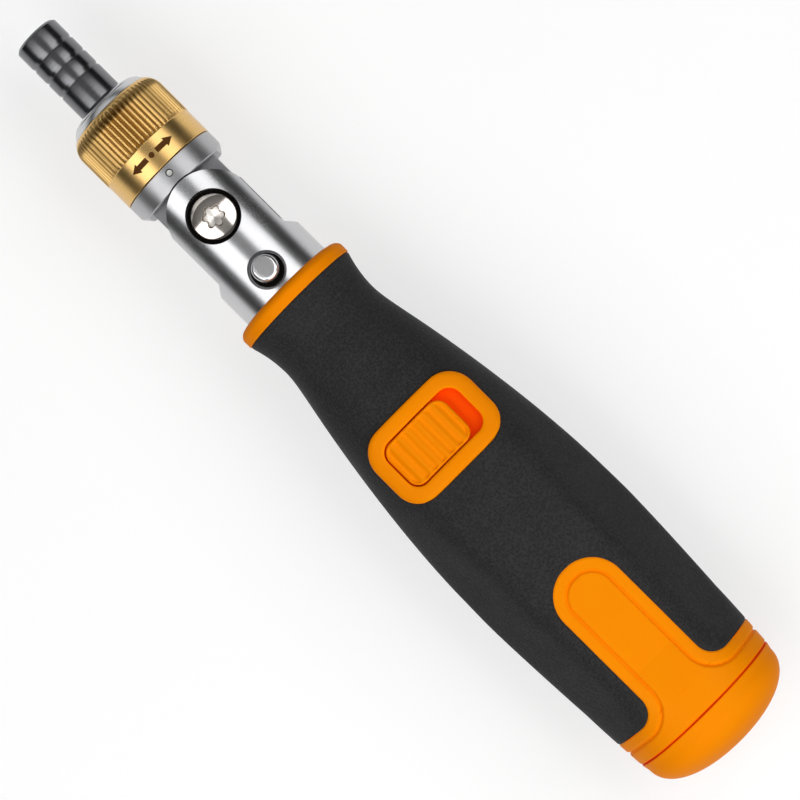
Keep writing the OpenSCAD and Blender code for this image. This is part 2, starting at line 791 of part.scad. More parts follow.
module detent_spring() {
  foot = -leaf_top;
  crest = -(hub_d / 2 + bump_reach);
  knee_depth = 0.7;
  knee = -(hub_d / 2 - knee_depth);
  half_t = leaf_t / 2;
  upper = [[-leaf_span, foot - leaf_t], [-bump_w, knee - half_t], [-bump_w / 2, crest], [bump_w / 2, crest],
    [bump_w, knee - half_t], [leaf_span, foot - leaf_t]];
  lower = [[leaf_span, foot], [bump_w, knee + half_t], [-bump_w, knee + half_t], [-leaf_span, foot]];
  color([0.6, 0.6, 0.62]) along(leaf_x - leaf_w / 2, leaf_x + leaf_w / 2, concat(upper, lower));
}

// tilt joint
module tilt_bush() {
  color([0.72, 0.56, 0.3]) difference() {
    post(pivot_x, pivot_d / 2 + tilt_bush_wall, -tang_t / 2, tang_t / 2);
    post(pivot_x, pivot_d / 2 + play, -tang_t, tang_t);
  }
}

module tilt_washers() {
  color([0.5, 0.5, 0.5]) for (side = [-1, 1]) translate([0, 0, side * (tang_t + washer_t + end_play) / 2])
    difference() {
      post(pivot_x, washer_d / 2, -washer_t / 2, washer_t / 2);
      post(pivot_x, pivot_d / 2 + play, -washer_t, washer_t);
    }
}

module fork_plan() {
  wide = neck_d / 2 + cut;
  half = fork_w / 2;
  flat_end = pivot_x + flat_len;
  round_x = flat_end + flat_runout;
  h = 2 * neck_d;
  intersection() {
    post(pivot_x, fork_end_r, -neck_d, neck_d);
    bar(pivot_x - fork_w, pivot_x + cut, fork_w, h);
  }
  bar(pivot_x, flat_end + cut, fork_w, h);
  translate([0, 0, -neck_d]) linear_extrude(h) polygon([[flat_end, -half], [round_x, -half - flat_runout],
    [round_x, -wide], [grip_x + cut, -wide], [grip_x + cut, wide], [round_x, wide],
    [round_x, half + flat_runout], [flat_end, half]]);
}

module neck_fork() {
  r = neck_d / 2;
  well_x = button_x + well_shift;
  dish_r = dish_d / 2;
  dish_z = sqrt(r * r - dish_r * dish_r) - edge;
  dish_low = dish_z - dish_r + well_d / 2;
  pin_x = grip_x + neck_pin_at;
  color([0.75, 0.75, 0.77]) difference() {
    union() {
      intersection() {
        rod(r, pivot_x - fork_w, grip_x);
        fork_plan();
      }
      rod(shank_d / 2, grip_x - cut, grip_x + shank_len);
    }
    bar(pivot_x - fork_w, slot_x, 2 * neck_d, slot_h);
    post(pivot_x, pivot_d / 2 + play, -neck_d, neck_d);
    post(pivot_x, recess_d / 2, recess_floor, neck_d);
    post(pivot_x, recess_d / 2, -neck_d, -recess_floor);
    bar(slot_x - cut, bar_back + button_travel + pass, bar_w + 4 * play, bar_h + 4 * play);
    rod(lock_coil_d / 2 + lock_wire, bar_back, lock_end);
    post(button_x, button_d / 2 + play, 0, neck_d);
    post(well_x, well_d / 2, r - well_depth, neck_d);
    translate([well_x, 0, 0]) rotate_extrude() polygon([[0, dish_low], [well_d / 2, dish_low],
      [dish_r, dish_z], [dish_r, neck_d], [0, neck_d]]);
    post(plug_x, plug_r, -neck_d, 0);
    translate([pin_x, 0, 0]) rotate([90, 0, 0]) cylinder(d = neck_pin_d, h = neck_d, center = true);
  }
}

module star(d, h) {
  lobe_share = 0.13;
  lobe = d * lobe_share;
  cylinder(r = d / 2 - lobe, h = h);
  for (i = [0:5]) rotate([0, 0, 60 * i]) translate([d / 2 - lobe, 0, 0]) cylinder(r = lobe, h = h);
}

// domed head over a sleeve or a thread, seen from its seat upwards
module dome_head() {
  r = pivot_head_d / 2;
  rim_share = 0.45;
  rim = pivot_head_t * rim_share;
  steps = 6;
  translate([pivot_x, 0, recess_floor]) rotate_extrude()
    polygon(concat([[0, 0], [r, 0], [r, rim]], [for (i = [1:steps]) let (a = 90 * i / steps)
      [r * cos(a), rim + (pivot_head_t - rim) * sin(a)]]));
}

module pivot_screw() {
  color([0.8, 0.79, 0.76]) difference() {
    union() {
      dome_head();
      post(pivot_x, pivot_thread_d / 2, nut_floor - recess_floor, recess_floor + cut);
    }
    translate([pivot_x, 0, recess_floor + pivot_head_t - star_depth]) star(star_d, star_depth + cut);
  }
}

module pivot_nut() {
  color([0.8, 0.79, 0.76]) difference() {
    union() {
      rotate([180, 0, 0]) dome_head();
      post(pivot_x, pivot_d / 2, -recess_floor - cut, recess_floor);
    }
    post(pivot_x, pivot_thread_d / 2, nut_floor - recess_floor, neck_d);
  }
}

// lock: pressing the button draws the bar back by the same amount on a slope of 45 degrees
module lock_button() {
  r = button_d / 2;
  top = neck_d / 2 + button_rise;
  low = -bar_h / 2;
  foot_top = low - foot_gap;
  cap_low = bar_h / 2 + button_travel + edge;
  slope_top = low + bar_h / 2 + button_travel;
  color([0.8, 0.8, 0.82]) translate([button_x, 0, 0]) {
    rotate_extrude() polygon([[0, cap_low], [r, cap_low], [r, top - button_bevel],
      [r - button_bevel, top], [0, top]]);
    translate([0, stem_w / 2, 0]) rotate([90, 0, 0]) linear_extrude(stem_w) polygon([[stem_front, cap_low],
      [stem_front, foot_top], [foot_reach, foot_top], [foot_reach, foot_top - foot_t],
      [ramp_low, foot_top - foot_t], [ramp_low, low], [ramp_low + slope_top - low, slope_top],
      [ramp_low + slope_top - low, cap_low]]);
  }
}

module lock_bar() {
  low = -bar_h / 2;
  gap = 2 * end_play;
  ramp_top = ramp_low + gap + bar_h / 2;
  color([0.5, 0.5, 0.53]) {
    difference() {
      bar(bar_x, bar_back, bar_w, bar_h);
      translate([button_x, stem_w / 2 + pass, 0]) rotate([90, 0, 0]) linear_extrude(stem_w + 2 * pass)
        polygon([[window_front, low - cut], [window_front, -low + cut], [window_back, -low + cut],
          [window_back, low + bar_h / 2], [ramp_top, low + bar_h / 2], [ramp_low + gap - cut, low - cut]]);
    }
    bar(pivot_x + tang_r, bar_x + cut, 2 * bar_tooth_r, bar_h);
    post(pivot_x + tang_r, bar_tooth_r, -bar_h / 2, bar_h / 2);
  }
}

module lock_spring() {
  color([0.6, 0.6, 0.62]) translate([lock_spring_x, 0, 0])
    coil(lock_coil_d, lock_wire, lock_pitch, lock_turns);
}

module lock_plug() {
  color([0.7, 0.7, 0.72]) post(plug_x, plug_r, -neck_d / 2 + plug_inset, -plug_z);
}

module neck_pin() {
  pin_x = grip_x + neck_pin_at;
  color([0.5, 0.5, 0.53]) translate([pin_x, 0, 0]) rotate([90, 0, 0])
    cylinder(d = neck_pin_d, h = 2 * (core_r(pin_x) - cut), center = true);
}

// handle
module front_collar() {
  r = collar_d / 2;
  bore = neck_d / 2;
  color([1, 0.5, 0.03]) turned([[collar_x, bore], [collar_x, r - collar_bevel - edge],
    [collar_x + edge, r - collar_bevel], [collar_x + collar_bevel, r], [grip_x, r], [grip_x, bore]]);
}

module facet_pair(from) {
  runs = concat([grip_x - cut], [for (i = [0:facet_steps]) from + (seam_x - from) * i / facet_steps]);
  up = [for (x = runs) [x, facet_r(x, from)]];
  down = [for (i = [len(runs) - 1:-1:0]) [runs[i], -facet_r(runs[i], from)]];
  rotate([90, 0, 0]) linear_extrude(2 * belly_d, center = true) polygon(concat(up, down));
}

// outer form of the handle: a turned barrel with six flats
module outer_form() {
  intersection() {
    turned(concat([[grip_x, 0]], [for (x = stations) [x, handle_r(x)]], [[seam_x, 0]]));
    facet_pair(facet_from);
    rotate([60, 0, 0]) facet_pair(side_facet_from);
    rotate([120, 0, 0]) facet_pair(side_facet_from);
  }
}

module core_form() {
  turned(concat([[grip_x, 0]], [for (x = stations) [x, core_r(x)]], [[seam_x, 0]]));
}

// plan of the tongue and the hollows beside it, drawn upwards
module tongue_block() {
  front = seam_x - tongue_len;
  half = tongue_w / 2;
  r = half - edge;
  linear_extrude(belly_d) union() {
    translate([front + r, -half]) square([tongue_len - r, tongue_w]);
    translate([front, -edge]) square([tongue_len, 2 * edge]);
    for (side = [-1, 1]) translate([front + r, side * edge]) circle(r);
    for (side = [-1, 1]) difference() {
      translate([band_x - tongue_fillet, side > 0 ? half - cut : -half - tongue_fillet])
        square([tongue_fillet + cut, tongue_fillet + cut]);
      translate([band_x - tongue_fillet, side * (half + tongue_fillet)]) circle(tongue_fillet);
    }
  }
}

module core_bores() {
  rod(shank_d / 2, grip_x - cut, block_x + cut);
  rod(block_d / 2, block_x, block_end + cut);
  rod(bore_r, block_end, seam_x);
  rod(seat_r, stop_x, seam_x + cut);
  translate([grip_x + neck_pin_at, 0, 0]) rotate([90, 0, 0])
    cylinder(d = neck_pin_d, h = belly_d, center = true);
}

module at_switch() {
  translate([switch_x, 0, switch_z]) rotate([0, -switch_slope, 0]) children();
}

module hook_slot() {
  translate([switch_x - hook_len / 2 - pass, hook_y - hook_w / 2 - pass, 0])
    cube([hook_len + 2 * pass, hook_w + switch_travel + pass + play, belly_d]);
}

module handle_core() {
  color([1, 0.53, 0.03]) difference() {
    union() {
      core_form();
      intersection() {
        outer_form();
        union() {
          rod(belly_d, band_x, seam_x + cut);
          tongue_block();
        }
      }
    }
    core_bores();
    at_switch() round_block(bezel_len, bezel_w, bezel_r, tray_low, belly_d);
    hook_slot();
  }
}

module grip() {
  color([0.15, 0.15, 0.16]) difference() {
    outer_form();
    core_form();
    rod(belly_d, band_x, seam_x + cut);
    tongue_block();
    at_switch() round_block(bezel_len, bezel_w, bezel_r, bezel_low, belly_d);
  }
}

module switch_bezel() {
  color([1, 0.55, 0.04]) difference() {
    at_switch() intersection() {
      round_block(bezel_len, bezel_w, bezel_r, bezel_low, bezel_rise + cut);
      translate([0, 0, bezel_rise - bezel_crown]) rod(bezel_crown, -bezel_len, bezel_len);
    }
    difference() {
      core_form();
      at_switch() round_block(bezel_len, bezel_w, bezel_r, tray_low, belly_d);
    }
    at_switch() round_block(window_len, window_w, window_r, -window_depth, belly_d);
    hook_slot();
  }
}

module slide_switch() {
  pitch = slider_w / rib_count;
  half = slider_w / 2;
  low = -window_depth + end_play;
  rise = 0.3 * pitch;
  hook_sink = 0.6;
  ribs = [for (i = [0:rib_count - 1]) let (y = -half + i * pitch)
    each [[y, slider_top - rib_h], [y + rise, slider_top], [y + pitch - rise, slider_top]]];
  color([1, 0.52, 0.03]) difference() {
    union() {
      at_switch() intersection() {
        translate([0, slider_y + half, 0]) along(-slider_len / 2, slider_len / 2,
          concat([[-half, low]], ribs, [[half, slider_top - rib_h], [half, low]]));
        translate([0, slider_y + half, 0])
          round_block(slider_len, slider_w, slider_r, low - cut, slider_top + cut);
        translate([0, 0, slider_top - bezel_crown]) rod(bezel_crown, -bezel_len, bezel_len);
      }
      translate([switch_x - hook_len / 2, hook_y - hook_w / 2, hook_low])
        cube([hook_len, hook_w, switch_z - window_depth - hook_low + hook_sink]);
    }
    translate([switch_x - bezel_len, hook_y - latch_wire_d / 2 - wire_side, hook_low - cut])
      cube([2 * bezel_len, latch_wire_d + 2 * wire_side, wire_top - hook_low + 2 * cut]);
  }
}

module latch_block() {
  slot_w = latch_wire_d + 2 * pass;
  color([0.2, 0.2, 0.2]) difference() {
    rod(block_d / 2, block_x, block_end);
    rod(stud_d / 2 + pass, stud_tip - 2 * cut, block_end + cut);
    translate([switch_x - slot_w / 2, -wire_back - latch_wire_d / 2, wire_low - wire_bend - latch_wire_d])
      cube([slot_w, wire_back + hook_y + latch_wire_d + switch_travel, block_d]);
    hook_slot();
  }
}

module latch_wire() {
  r = latch_wire_d / 2;
  color([0.6, 0.6, 0.62]) translate([switch_x, 0, 0]) {
    translate([0, hook_y, wire_low]) cylinder(r = r, h = wire_top - wire_low);
    translate([0, -wire_back, wire_low]) cylinder(r = r, h = -wire_low);
    translate([0, wire_mid, wire_low]) rotate([0, 90, 0]) rotate([0, 0, -90]) rotate_extrude(angle = 180)
      translate([wire_bend, 0]) circle(r);
  }
}

module stop_ring() {
  color([0.2, 0.2, 0.2]) {
    tube(seat_r, lip_r, stop_x, stop_x + stop_len);
    rotate([180 / bit_count, 0, 0]) translate([stop_x, -key_w / 2, lip_r - key_depth])
      cube([stop_len, key_w, key_depth + pass]);
  }
}

// magazine
module bit_ring(x) {
  for (i = [0:bit_count - 1]) rotate([360 / bit_count * i, 0, 0]) translate([x, 0, bit_ring_r]) children();
}

module pocket() {
  rod(pocket_hole, 0, pocket_len);
  translate([0, -pocket_mouth / 2, 0]) cube([pocket_len, pocket_mouth, carrier_d]);
}

module bit_carrier() {
  color([0.22, 0.22, 0.23]) difference() {
    union() {
      rod(guide_d / 2, magazine_x, magazine_x + guide_len);
      rod(carrier_d / 2, magazine_x, carrier_end);
    }
    bit_ring(row_x) pocket();
    bit_ring(row2_x) pocket();
    rotate([180 / bit_count, 0, 0])
      translate([magazine_x + guide_len, -key_w / 2 - pass, carrier_d / 2 - key_depth])
        cube([handle_len, key_w + 2 * pass, carrier_d]);
    rod(stud_shank_r, magazine_x - cut, magazine_x + stud_depth);
    rod(cap_stud_r, carrier_end - cap_stud_len, carrier_end + cut);
  }
}

module latch_stud() {
  r = stud_d / 2;
  g = r - stud_groove;
  half = latch_wire_d / 2 + edge;
  lead = 1.2;
  stud_end = magazine_x + stud_depth;
  color([0.72, 0.72, 0.74]) turned([[stud_tip, 0], [stud_tip, r - lead], [stud_tip + lead, r],
    [switch_x - half, r], [switch_x - half, g], [switch_x + half, g], [switch_x + half, r], [magazine_x, r],
    [magazine_x, stud_shank_r], [stud_end, stud_shank_r], [stud_end, 0]]);
}

module eject_spring() {
  color([0.6, 0.6, 0.62]) translate([block_end + eject_wire / 2 + end_play, 0, 0])
    coil(eject_coil_d, eject_wire, eject_pitch, eject_turns);
}

module one_bit() {
  r = bit_tip_d / 2;
  taper = 1.5;
  start = bit_slack / 2;
  neck_x = bit_len - bit_tip;
  point_x = start + bit_len;
  color([0.62, 0.62, 0.64]) {
    hex_rod(bit_af, start, start + neck_x);
    turned([[neck_x, 0], [neck_x, r + edge], [neck_x + taper, r], [point_x - taper, r], [point_x, r / 3],
      [point_x, 0]]);
  }
}

module front_bits() {
  bit_ring(row_x) one_bit();
}

module rear_bits() {
  bit_ring(row2_x) one_bit();
}

module cap_stud() {
  color([0.5, 0.5, 0.53]) rod(cap_stud_r, carrier_end - cap_stud_len, carrier_end + cap_stud_len);
}

function dome(r, x, len) = [for (i = [0:dome_steps]) let (a = 90 * i / dome_steps)
  [x + len * pow(sin(a), 2 / dome_power), r * pow(max(0, cos(a)), 2 / dome_power)]];

module tail_cap() {
  len = seam_x + tail_len - dome_x;
  front = seam_x + 2 * end_play;
  boss_r = cap_stud_r + tail_wall;
  r = tail_d / 2;
  inner = dome_r - tail_wall;
  color([1, 0.53, 0.03]) difference() {
    union() {
      turned(concat([[front, 0], [front, r - edge - play], [front + edge, r - play]],
        dome(dome_r, dome_x, len)));
      tube(seat_r - 2 * play, lip_r, seam_x - spigot_len, front + cut);
    }
    difference() {
      turned(concat([[front - cut, 0], [front - cut, lip_r]], [[front + cut, lip_r]],
        dome(inner, dome_x, len - tail_wall)));
      rod(boss_r, front, seam_x + tail_len);
    }
    rod(cap_stud_r, front - cut, carrier_end + cap_stud_len);
  }
}

bit_holder();
ratchet_gear();
bit_magnet();
bit_snap_ring();
front_cap();
thrust_washer();
selector_ring();
ratchet_body();
spindle_bush();
pawl_left();
pawl_right();
pawl_spring();
detent_spring();
tilt_bush();
tilt_washers();
neck_fork();
pivot_screw();
pivot_nut();
lock_button();
lock_bar();
lock_spring();
lock_plug();
neck_pin();
front_collar();
handle_core();
grip();
switch_bezel();
slide_switch();
latch_block();
latch_wire();
eject_spring();
stop_ring();
bit_carrier();
latch_stud();
cap_stud();
tail_cap();
front_bits();
rear_bits();
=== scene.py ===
# %% [markdown]
# # A ratcheting screwdriver, dressed for the camera
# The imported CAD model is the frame: every solid already sits in its place, in metres, with the
# mouth of the bit socket at the origin and the tail towards +X. This lesson gives the tool its
# smooth skins, its finishes, a floor, light and a camera. Pieces that the CAD draws well keep
# their solids; pieces with soft edges, flutes or grooves are worked out again with numpy. Sizes
# of the tool are written in millimetres, and those of camera, floor and lamps in metres.

# %% Load the frame
import json
import math

import bmesh
import bpy
import numpy as np
from mathutils import Matrix, Vector


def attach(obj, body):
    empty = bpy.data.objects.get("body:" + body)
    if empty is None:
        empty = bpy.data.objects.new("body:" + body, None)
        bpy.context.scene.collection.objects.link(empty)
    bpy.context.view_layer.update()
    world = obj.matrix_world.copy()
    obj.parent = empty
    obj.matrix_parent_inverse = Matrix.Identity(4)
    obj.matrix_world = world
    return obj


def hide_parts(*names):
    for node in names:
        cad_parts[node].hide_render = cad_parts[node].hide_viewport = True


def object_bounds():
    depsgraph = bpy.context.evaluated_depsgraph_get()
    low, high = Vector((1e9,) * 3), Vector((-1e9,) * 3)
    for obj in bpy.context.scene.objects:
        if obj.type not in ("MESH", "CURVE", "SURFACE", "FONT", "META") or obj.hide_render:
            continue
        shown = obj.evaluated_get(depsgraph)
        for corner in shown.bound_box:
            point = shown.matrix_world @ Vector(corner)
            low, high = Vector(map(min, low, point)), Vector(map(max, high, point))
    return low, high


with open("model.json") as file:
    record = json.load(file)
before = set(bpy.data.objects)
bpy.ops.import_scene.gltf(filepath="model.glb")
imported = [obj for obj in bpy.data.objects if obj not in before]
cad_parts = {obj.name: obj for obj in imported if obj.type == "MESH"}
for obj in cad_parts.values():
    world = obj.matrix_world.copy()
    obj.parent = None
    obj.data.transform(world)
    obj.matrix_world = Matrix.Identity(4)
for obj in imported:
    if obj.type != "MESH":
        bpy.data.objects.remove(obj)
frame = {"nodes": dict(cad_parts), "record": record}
nodes = frame["nodes"]
cad_box = [list(corner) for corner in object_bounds()]
print("nodes:", len(nodes), "box:", [[round(v, 4) for v in corner] for corner in cad_box])

# %% [markdown]
# ## The camera
# The photograph looks straight at the switch, with the tool lying from the upper left to the
# lower right. The round edges of the ring, the collar and the tail seam bulge by amounts that
# give the distance, about 0.7 m, and a small lean of the camera towards the tail and upwards.
# A long lens at that distance is better than an orthographic camera, because those bulges show.

# %% Camera at the photograph's angle
photo_turn = math.radians(44.92)
aim, towards = Vector((0.10096, 0.0, 0.0)), Vector((0.028, 0.036, 1.0)).normalized()
camera_reach, view_width, sensor_width = 0.702, 0.156, 36.0


def new_object(name, data):
    """An object of the scene at the origin."""
    thing = bpy.data.objects.new(name, data)
    bpy.context.scene.collection.objects.link(thing)
    return thing


tool_way = (Vector((1, 0, 0)) - towards * towards.x).normalized()
side_way = towards.cross(tool_way)
right = tool_way * math.cos(photo_turn) + side_way * math.sin(photo_turn)
up = side_way * math.cos(photo_turn) - tool_way * math.sin(photo_turn)
lens = bpy.data.cameras.new("photo_camera")
lens.sensor_width = sensor_width
lens.lens = sensor_width * camera_reach / view_width
camera = new_object("photo_camera", lens)
facing = Matrix((right, up, towards)).transposed().to_4x4()
camera.matrix_world = Matrix.Translation(aim + towards * camera_reach) @ facing
bpy.context.scene.camera = camera
print("lens:", round(lens.lens, 1), "mm at", camera_reach, "m")

# %% [markdown]
# ## From numbers to a mesh
# Every new piece here is one or more grids of points. A grid is a function of two parameters,
# for example the place along the tool and the angle round it, worked out for all points at once.
# Adding faces by hand in bmesh would also work, but whole arrays are shorter and can be checked
# by their shapes. Grids that share an edge are joined by merging the doubled points.

# %% Grids and their faces
def grid_quads(rows, cols, wrap=False):
    """Corner numbers of a grid's quads, where point (i, j) has number i * cols + j.
    Wrap joins the last column to the first."""
    i, j = np.meshgrid(np.arange(rows - 1), np.arange(cols if wrap else cols - 1), indexing="ij")
    k = (j + 1) % cols
    return np.stack([i * cols + j, i * cols + k, (i + 1) * cols + k, (i + 1) * cols + j], -1)


def joined(patches):
    """Points and quads of patches (grid, wrap) or (grid, wrap, keep), where keep says which quads stay."""
    points, quads, count = [], [], 0
    for grid, wrap, *keep in patches:
        rows, cols = grid.shape[:2]
        corners = grid_quads(rows, cols, wrap)
        quads.append((corners[keep[0]] if keep else corners.reshape(-1, 4)) + count)
        points.append(grid.reshape(-1, 3))
        count += rows * cols
    return np.concatenate(points), np.concatenate(quads)


print("a tube of 3 by 8 points has", len(joined([(np.zeros((3, 8, 3)), True)])[1]), "faces")

# %% [markdown]
# A finished piece merges its doubled points and turns its faces outwards. An open shell has no
# inside to test, so its faces are compared with the direction away from the tool's axis. Each
# piece then rides on a body of the mechanism and takes the place of the CAD node it stands for.

# %% One object from its grids
MM, MERGE = 0.001, 1e-6


def outward_lean(mesh):
    """Sum over the faces of area times how far the normal points away from the X axis."""
    count = len(mesh.polygons)
    centre, normal, area = np.empty(3 * count), np.empty(3 * count), np.empty(count)
    for label, values in (("center", centre), ("normal", normal), ("area", area)):
        mesh.polygons.foreach_get(label, values)
    away = (centre.reshape(-1, 3)[:, 1:] * normal.reshape(-1, 3)[:, 1:]).sum(1)
    return float((area * away).sum())


def add_piece(name, patches, body, slot, stands_for=(), finish=None, sharp=38, shell=False):
    """One object from its patches, with the slot's own finish unless another is given."""
    points, quads = joined(patches)
    mesh = bpy.data.meshes.new(name)
    mesh.from_pydata((points * MM).tolist(), [], quads.tolist())
    work = bmesh.new()
    work.from_mesh(mesh)
    bmesh.ops.remove_doubles(work, verts=work.verts, dist=MERGE)
    bmesh.ops.delete(work, geom=[v for v in work.verts if not v.link_faces], context="VERTS")
    bmesh.ops.recalc_face_normals(work, faces=work.faces)
    work.to_mesh(mesh)
    work.free()
    if shell and outward_lean(mesh) < 0:
        mesh.flip_normals()
    mesh.polygons.foreach_set("use_smooth", np.ones(len(mesh.polygons), bool))
    mesh.set_sharp_from_angle(angle=math.radians(sharp))
    mesh.materials.append(finish or FINISHES[slot])
    piece = new_object(name, mesh)
    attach(piece, body)
    if stands_for:
        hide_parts(*stands_for)
    print(name, "faces:", len(mesh.polygons), "on", body)
    return piece


print("points closer than", MERGE, "m become one")

# %% [markdown]
# ## Profiles
# Most pieces are turned: a profile carried round the axis. Real corners are never quite sharp, and
# a soft corner catches a thin line of light. A Bevel modifier could do that, but rounding the
# profile before it is turned gives each corner its own radius.

# %% Rounded profiles, turned
def bent(a, c, b, s):
    """Curve from a to b that leaves and arrives towards c: (1-s)^2 a + 2 s (1-s) c + s^2 b."""
    return (1 - s) ** 2 * a + 2 * s * (1 - s) * c + s**2 * b


def filleted(corners, reach, steps=6, closed=False):
    """Polyline whose corners become curves that start and end a given reach from the corner,
    but never further than 0.45 of a side."""
    c = np.asarray(corners, float)
    reach = np.array(np.broadcast_to(reach, len(c)), float)
    if not closed:
        reach[[0, -1]] = 0
    ends = []
    for way in (1, -1):
        side = np.roll(c, way, 0) - c
        length = np.maximum(np.linalg.norm(side, axis=1), 1e-9)
        ends.append(c + side * (np.minimum(reach, 0.45 * length) / length)[:, None])
    s = np.linspace(0, 1, steps)[None, :, None]
    line = bent(ends[0][:, None], c[:, None], ends[1][:, None], s).reshape(-1, 2)
    if closed:
        line = np.vstack([line, line[:1]])
    return line[np.r_[True, np.linalg.norm(np.diff(line, axis=0), axis=1) > 1e-5]]


def full_turn(steps):
    """Evenly spaced angles once round."""
    return np.linspace(0, 2 * np.pi, steps, endpoint=False)


def round_axis(x, r, a):
    """Points at station x, radius r and angle a from +Z: (x, r sin a, r cos a)."""
    return np.stack(np.broadcast_arrays(x, r * np.sin(a), r * np.cos(a)), -1)


def turned(profile, steps=180):
    """Profile of (x, r) pairs carried round the X axis."""
    x, r = np.asarray(profile, float).T[..., None]
    return round_axis(x, r, full_turn(steps))


print("a rounded square has", len(filleted([(0, 0), (1, 0), (1, 1), (0, 1)], 0.1, 6, True)), "points")

# %% [markdown]
# ## Shared effects
# Turned steel, brass, moulded plastic and the soft grip share a few effects: fine rings left by
# the lathe, an even grain, the dulling left by hands, and wear on edges. Each effect is a small
# node group with its own inputs, built once. The groups only put out values that change over the
# surface; the shader itself stays in each material. Short helpers for single nodes come first.

# %% Helpers for shader nodes
def put(tree, kind, inputs=(), **settings):
    """Adds a node, sets its properties, and gives each named or numbered input a value or a link."""
    node = tree.nodes.new(kind)
    for key, value in settings.items():
        setattr(node, key, value)
    for key, value in dict(inputs).items():
        if isinstance(value, bpy.types.NodeSocket):
            tree.links.new(value, node.inputs[key])
        else:
            node.inputs[key].default_value = value
    return node


def calc(tree, operation, *values):
    """Result of one Math node."""
    return put(tree, "ShaderNodeMath", enumerate(values), operation=operation).outputs[0]


def remap(tree, value, start, end, low=0.0, high=1.0, kind="LINEAR"):
    """Value carried from start..end to low..high, and held at both ends."""
    sockets = {"Value": value, "From Min": start, "From Max": end, "To Min": low, "To Max": high}
    return put(tree, "ShaderNodeMapRange", sockets, interpolation_type=kind).outputs[0]


def mixed(tree, factor, a, b):
    """Value a turning to value b by a factor."""
    return put(tree, "ShaderNodeMix", {"Factor": factor, "A": a, "B": b}, data_type="FLOAT").outputs[0]


def blended(tree, factor, a, b):
    """Colour a turning to colour b by a factor."""
    return put(tree, "ShaderNodeMix", {"Factor": factor, 6: a, 7: b}, data_type="RGBA").outputs[2]


def noise(tree, place, scale, detail, **more):
    """Noise at a place, with further inputs by name."""
    sockets = {"Vector": place, "Scale": scale, "Detail": detail, **more}
    return put(tree, "ShaderNodeTexNoise", sockets).outputs[0]


def axes(tree, place):
    """The X, Y and Z of a place."""
    return put(tree, "ShaderNodeSeparateXYZ", {0: place}).outputs


def scaled_length(tree, place, scale):
    """Length of a place times a scale, so that an axis with scale 0 doesn't count."""
    scaled = put(tree, "ShaderNodeVectorMath", {0: place, 1: scale}, operation="MULTIPLY").outputs[0]
    return put(tree, "ShaderNodeVectorMath", {0: scaled}, operation="LENGTH").outputs["Value"]


helpers = (calc, remap, mixed, blended, noise, axes, scaled_length)
print("node helpers:", [helper.__name__ for helper in helpers])

# %% [markdown]
# Rings come from noise that is read along X only. Grain is a mix of soft noise and rounded cells.
# Smudges are broad noise, edges come from Pointiness, and a pocket is an upright post in which
# painted shade, a painted highlight or paint can sit.

# %% Node groups for rings, grain, handling, edges and pockets
def start_group(name, inputs, outputs):
    """An empty shader node group with a Vector and named numbers as inputs, and numbers as outputs."""
    group = bpy.data.node_groups.new(name, "ShaderNodeTree")
    group.interface.new_socket("Vector", in_out="INPUT", socket_type="NodeSocketVector")
    for label, value in inputs.items():
        socket = group.interface.new_socket(label, in_out="INPUT", socket_type="NodeSocketFloat")
        socket.default_value = value
    for label in outputs:
        group.interface.new_socket(label, in_out="OUTPUT", socket_type="NodeSocketFloat")
    given, out = group.nodes.new("NodeGroupInput"), group.nodes.new("NodeGroupOutput")
    return group, given.outputs, out.inputs


def lathe_rings_group():
    """Noise along X only, so that it forms rings round the tool: value = noise(x * Density)."""
    group, given, out = start_group("lathe_rings", {"Density": 4000.0}, ["Rings"])
    dense = calc(group, "MULTIPLY", axes(group, given["Vector"])["X"], given["Density"])
    fine = {"W": dense, "Scale": 1.0, "Detail": 4.0, "Roughness": 0.7}
    group.links.new(put(group, "ShaderNodeTexNoise", fine, noise_dimensions="1D").outputs[0], out["Rings"])
    return group


def fine_grain_group(patch_scale=160.0):
    """Mix of soft noise and small rounded cells, for moulded and cast surfaces, and broad patches."""
    group, given, out = start_group("fine_grain", {"Scale": 1500.0, "Cells": 0.5}, ["Grain", "Patches"])
    place, scale = given["Vector"], given["Scale"]
    soft = noise(group, place, scale, 3.0, Roughness=0.6)
    rounded = {"Vector": place, "Scale": scale, "Smoothness": 0.6}
    cells = put(group, "ShaderNodeTexVoronoi", rounded, feature="SMOOTH_F1").outputs["Distance"]
    group.links.new(mixed(group, given["Cells"], soft, cells), out["Grain"])
    group.links.new(noise(group, place, patch_scale, 4.0), out["Patches"])
    return group


def handling_group(least=0.38, most=0.68):
    """Broad smudges from hands: noise from least to most, spread over 0 to 1."""
    group, given, out = start_group("handling", {"Scale": 60.0}, ["Smudge"])
    broad = noise(group, given["Vector"], given["Scale"], 3.0, Distortion=0.6)
    group.links.new(remap(group, broad, least, most), out["Smudge"])
    return group


def edge_wear_group(break_scale=700.0):
    """Mask of sharp outward edges from Pointiness, broken up by noise."""
    group, given, out = start_group("edge_wear", {"Start": 0.52, "Full": 0.60}, ["Edge"])
    bend = put(group, "ShaderNodeNewGeometry").outputs["Pointiness"]
    edge = remap(group, bend, given["Start"], given["Full"])
    broken = calc(group, "MULTIPLY", edge, noise(group, given["Vector"], break_scale, 3.0))
    group.links.new(broken, out["Edge"])
    return group


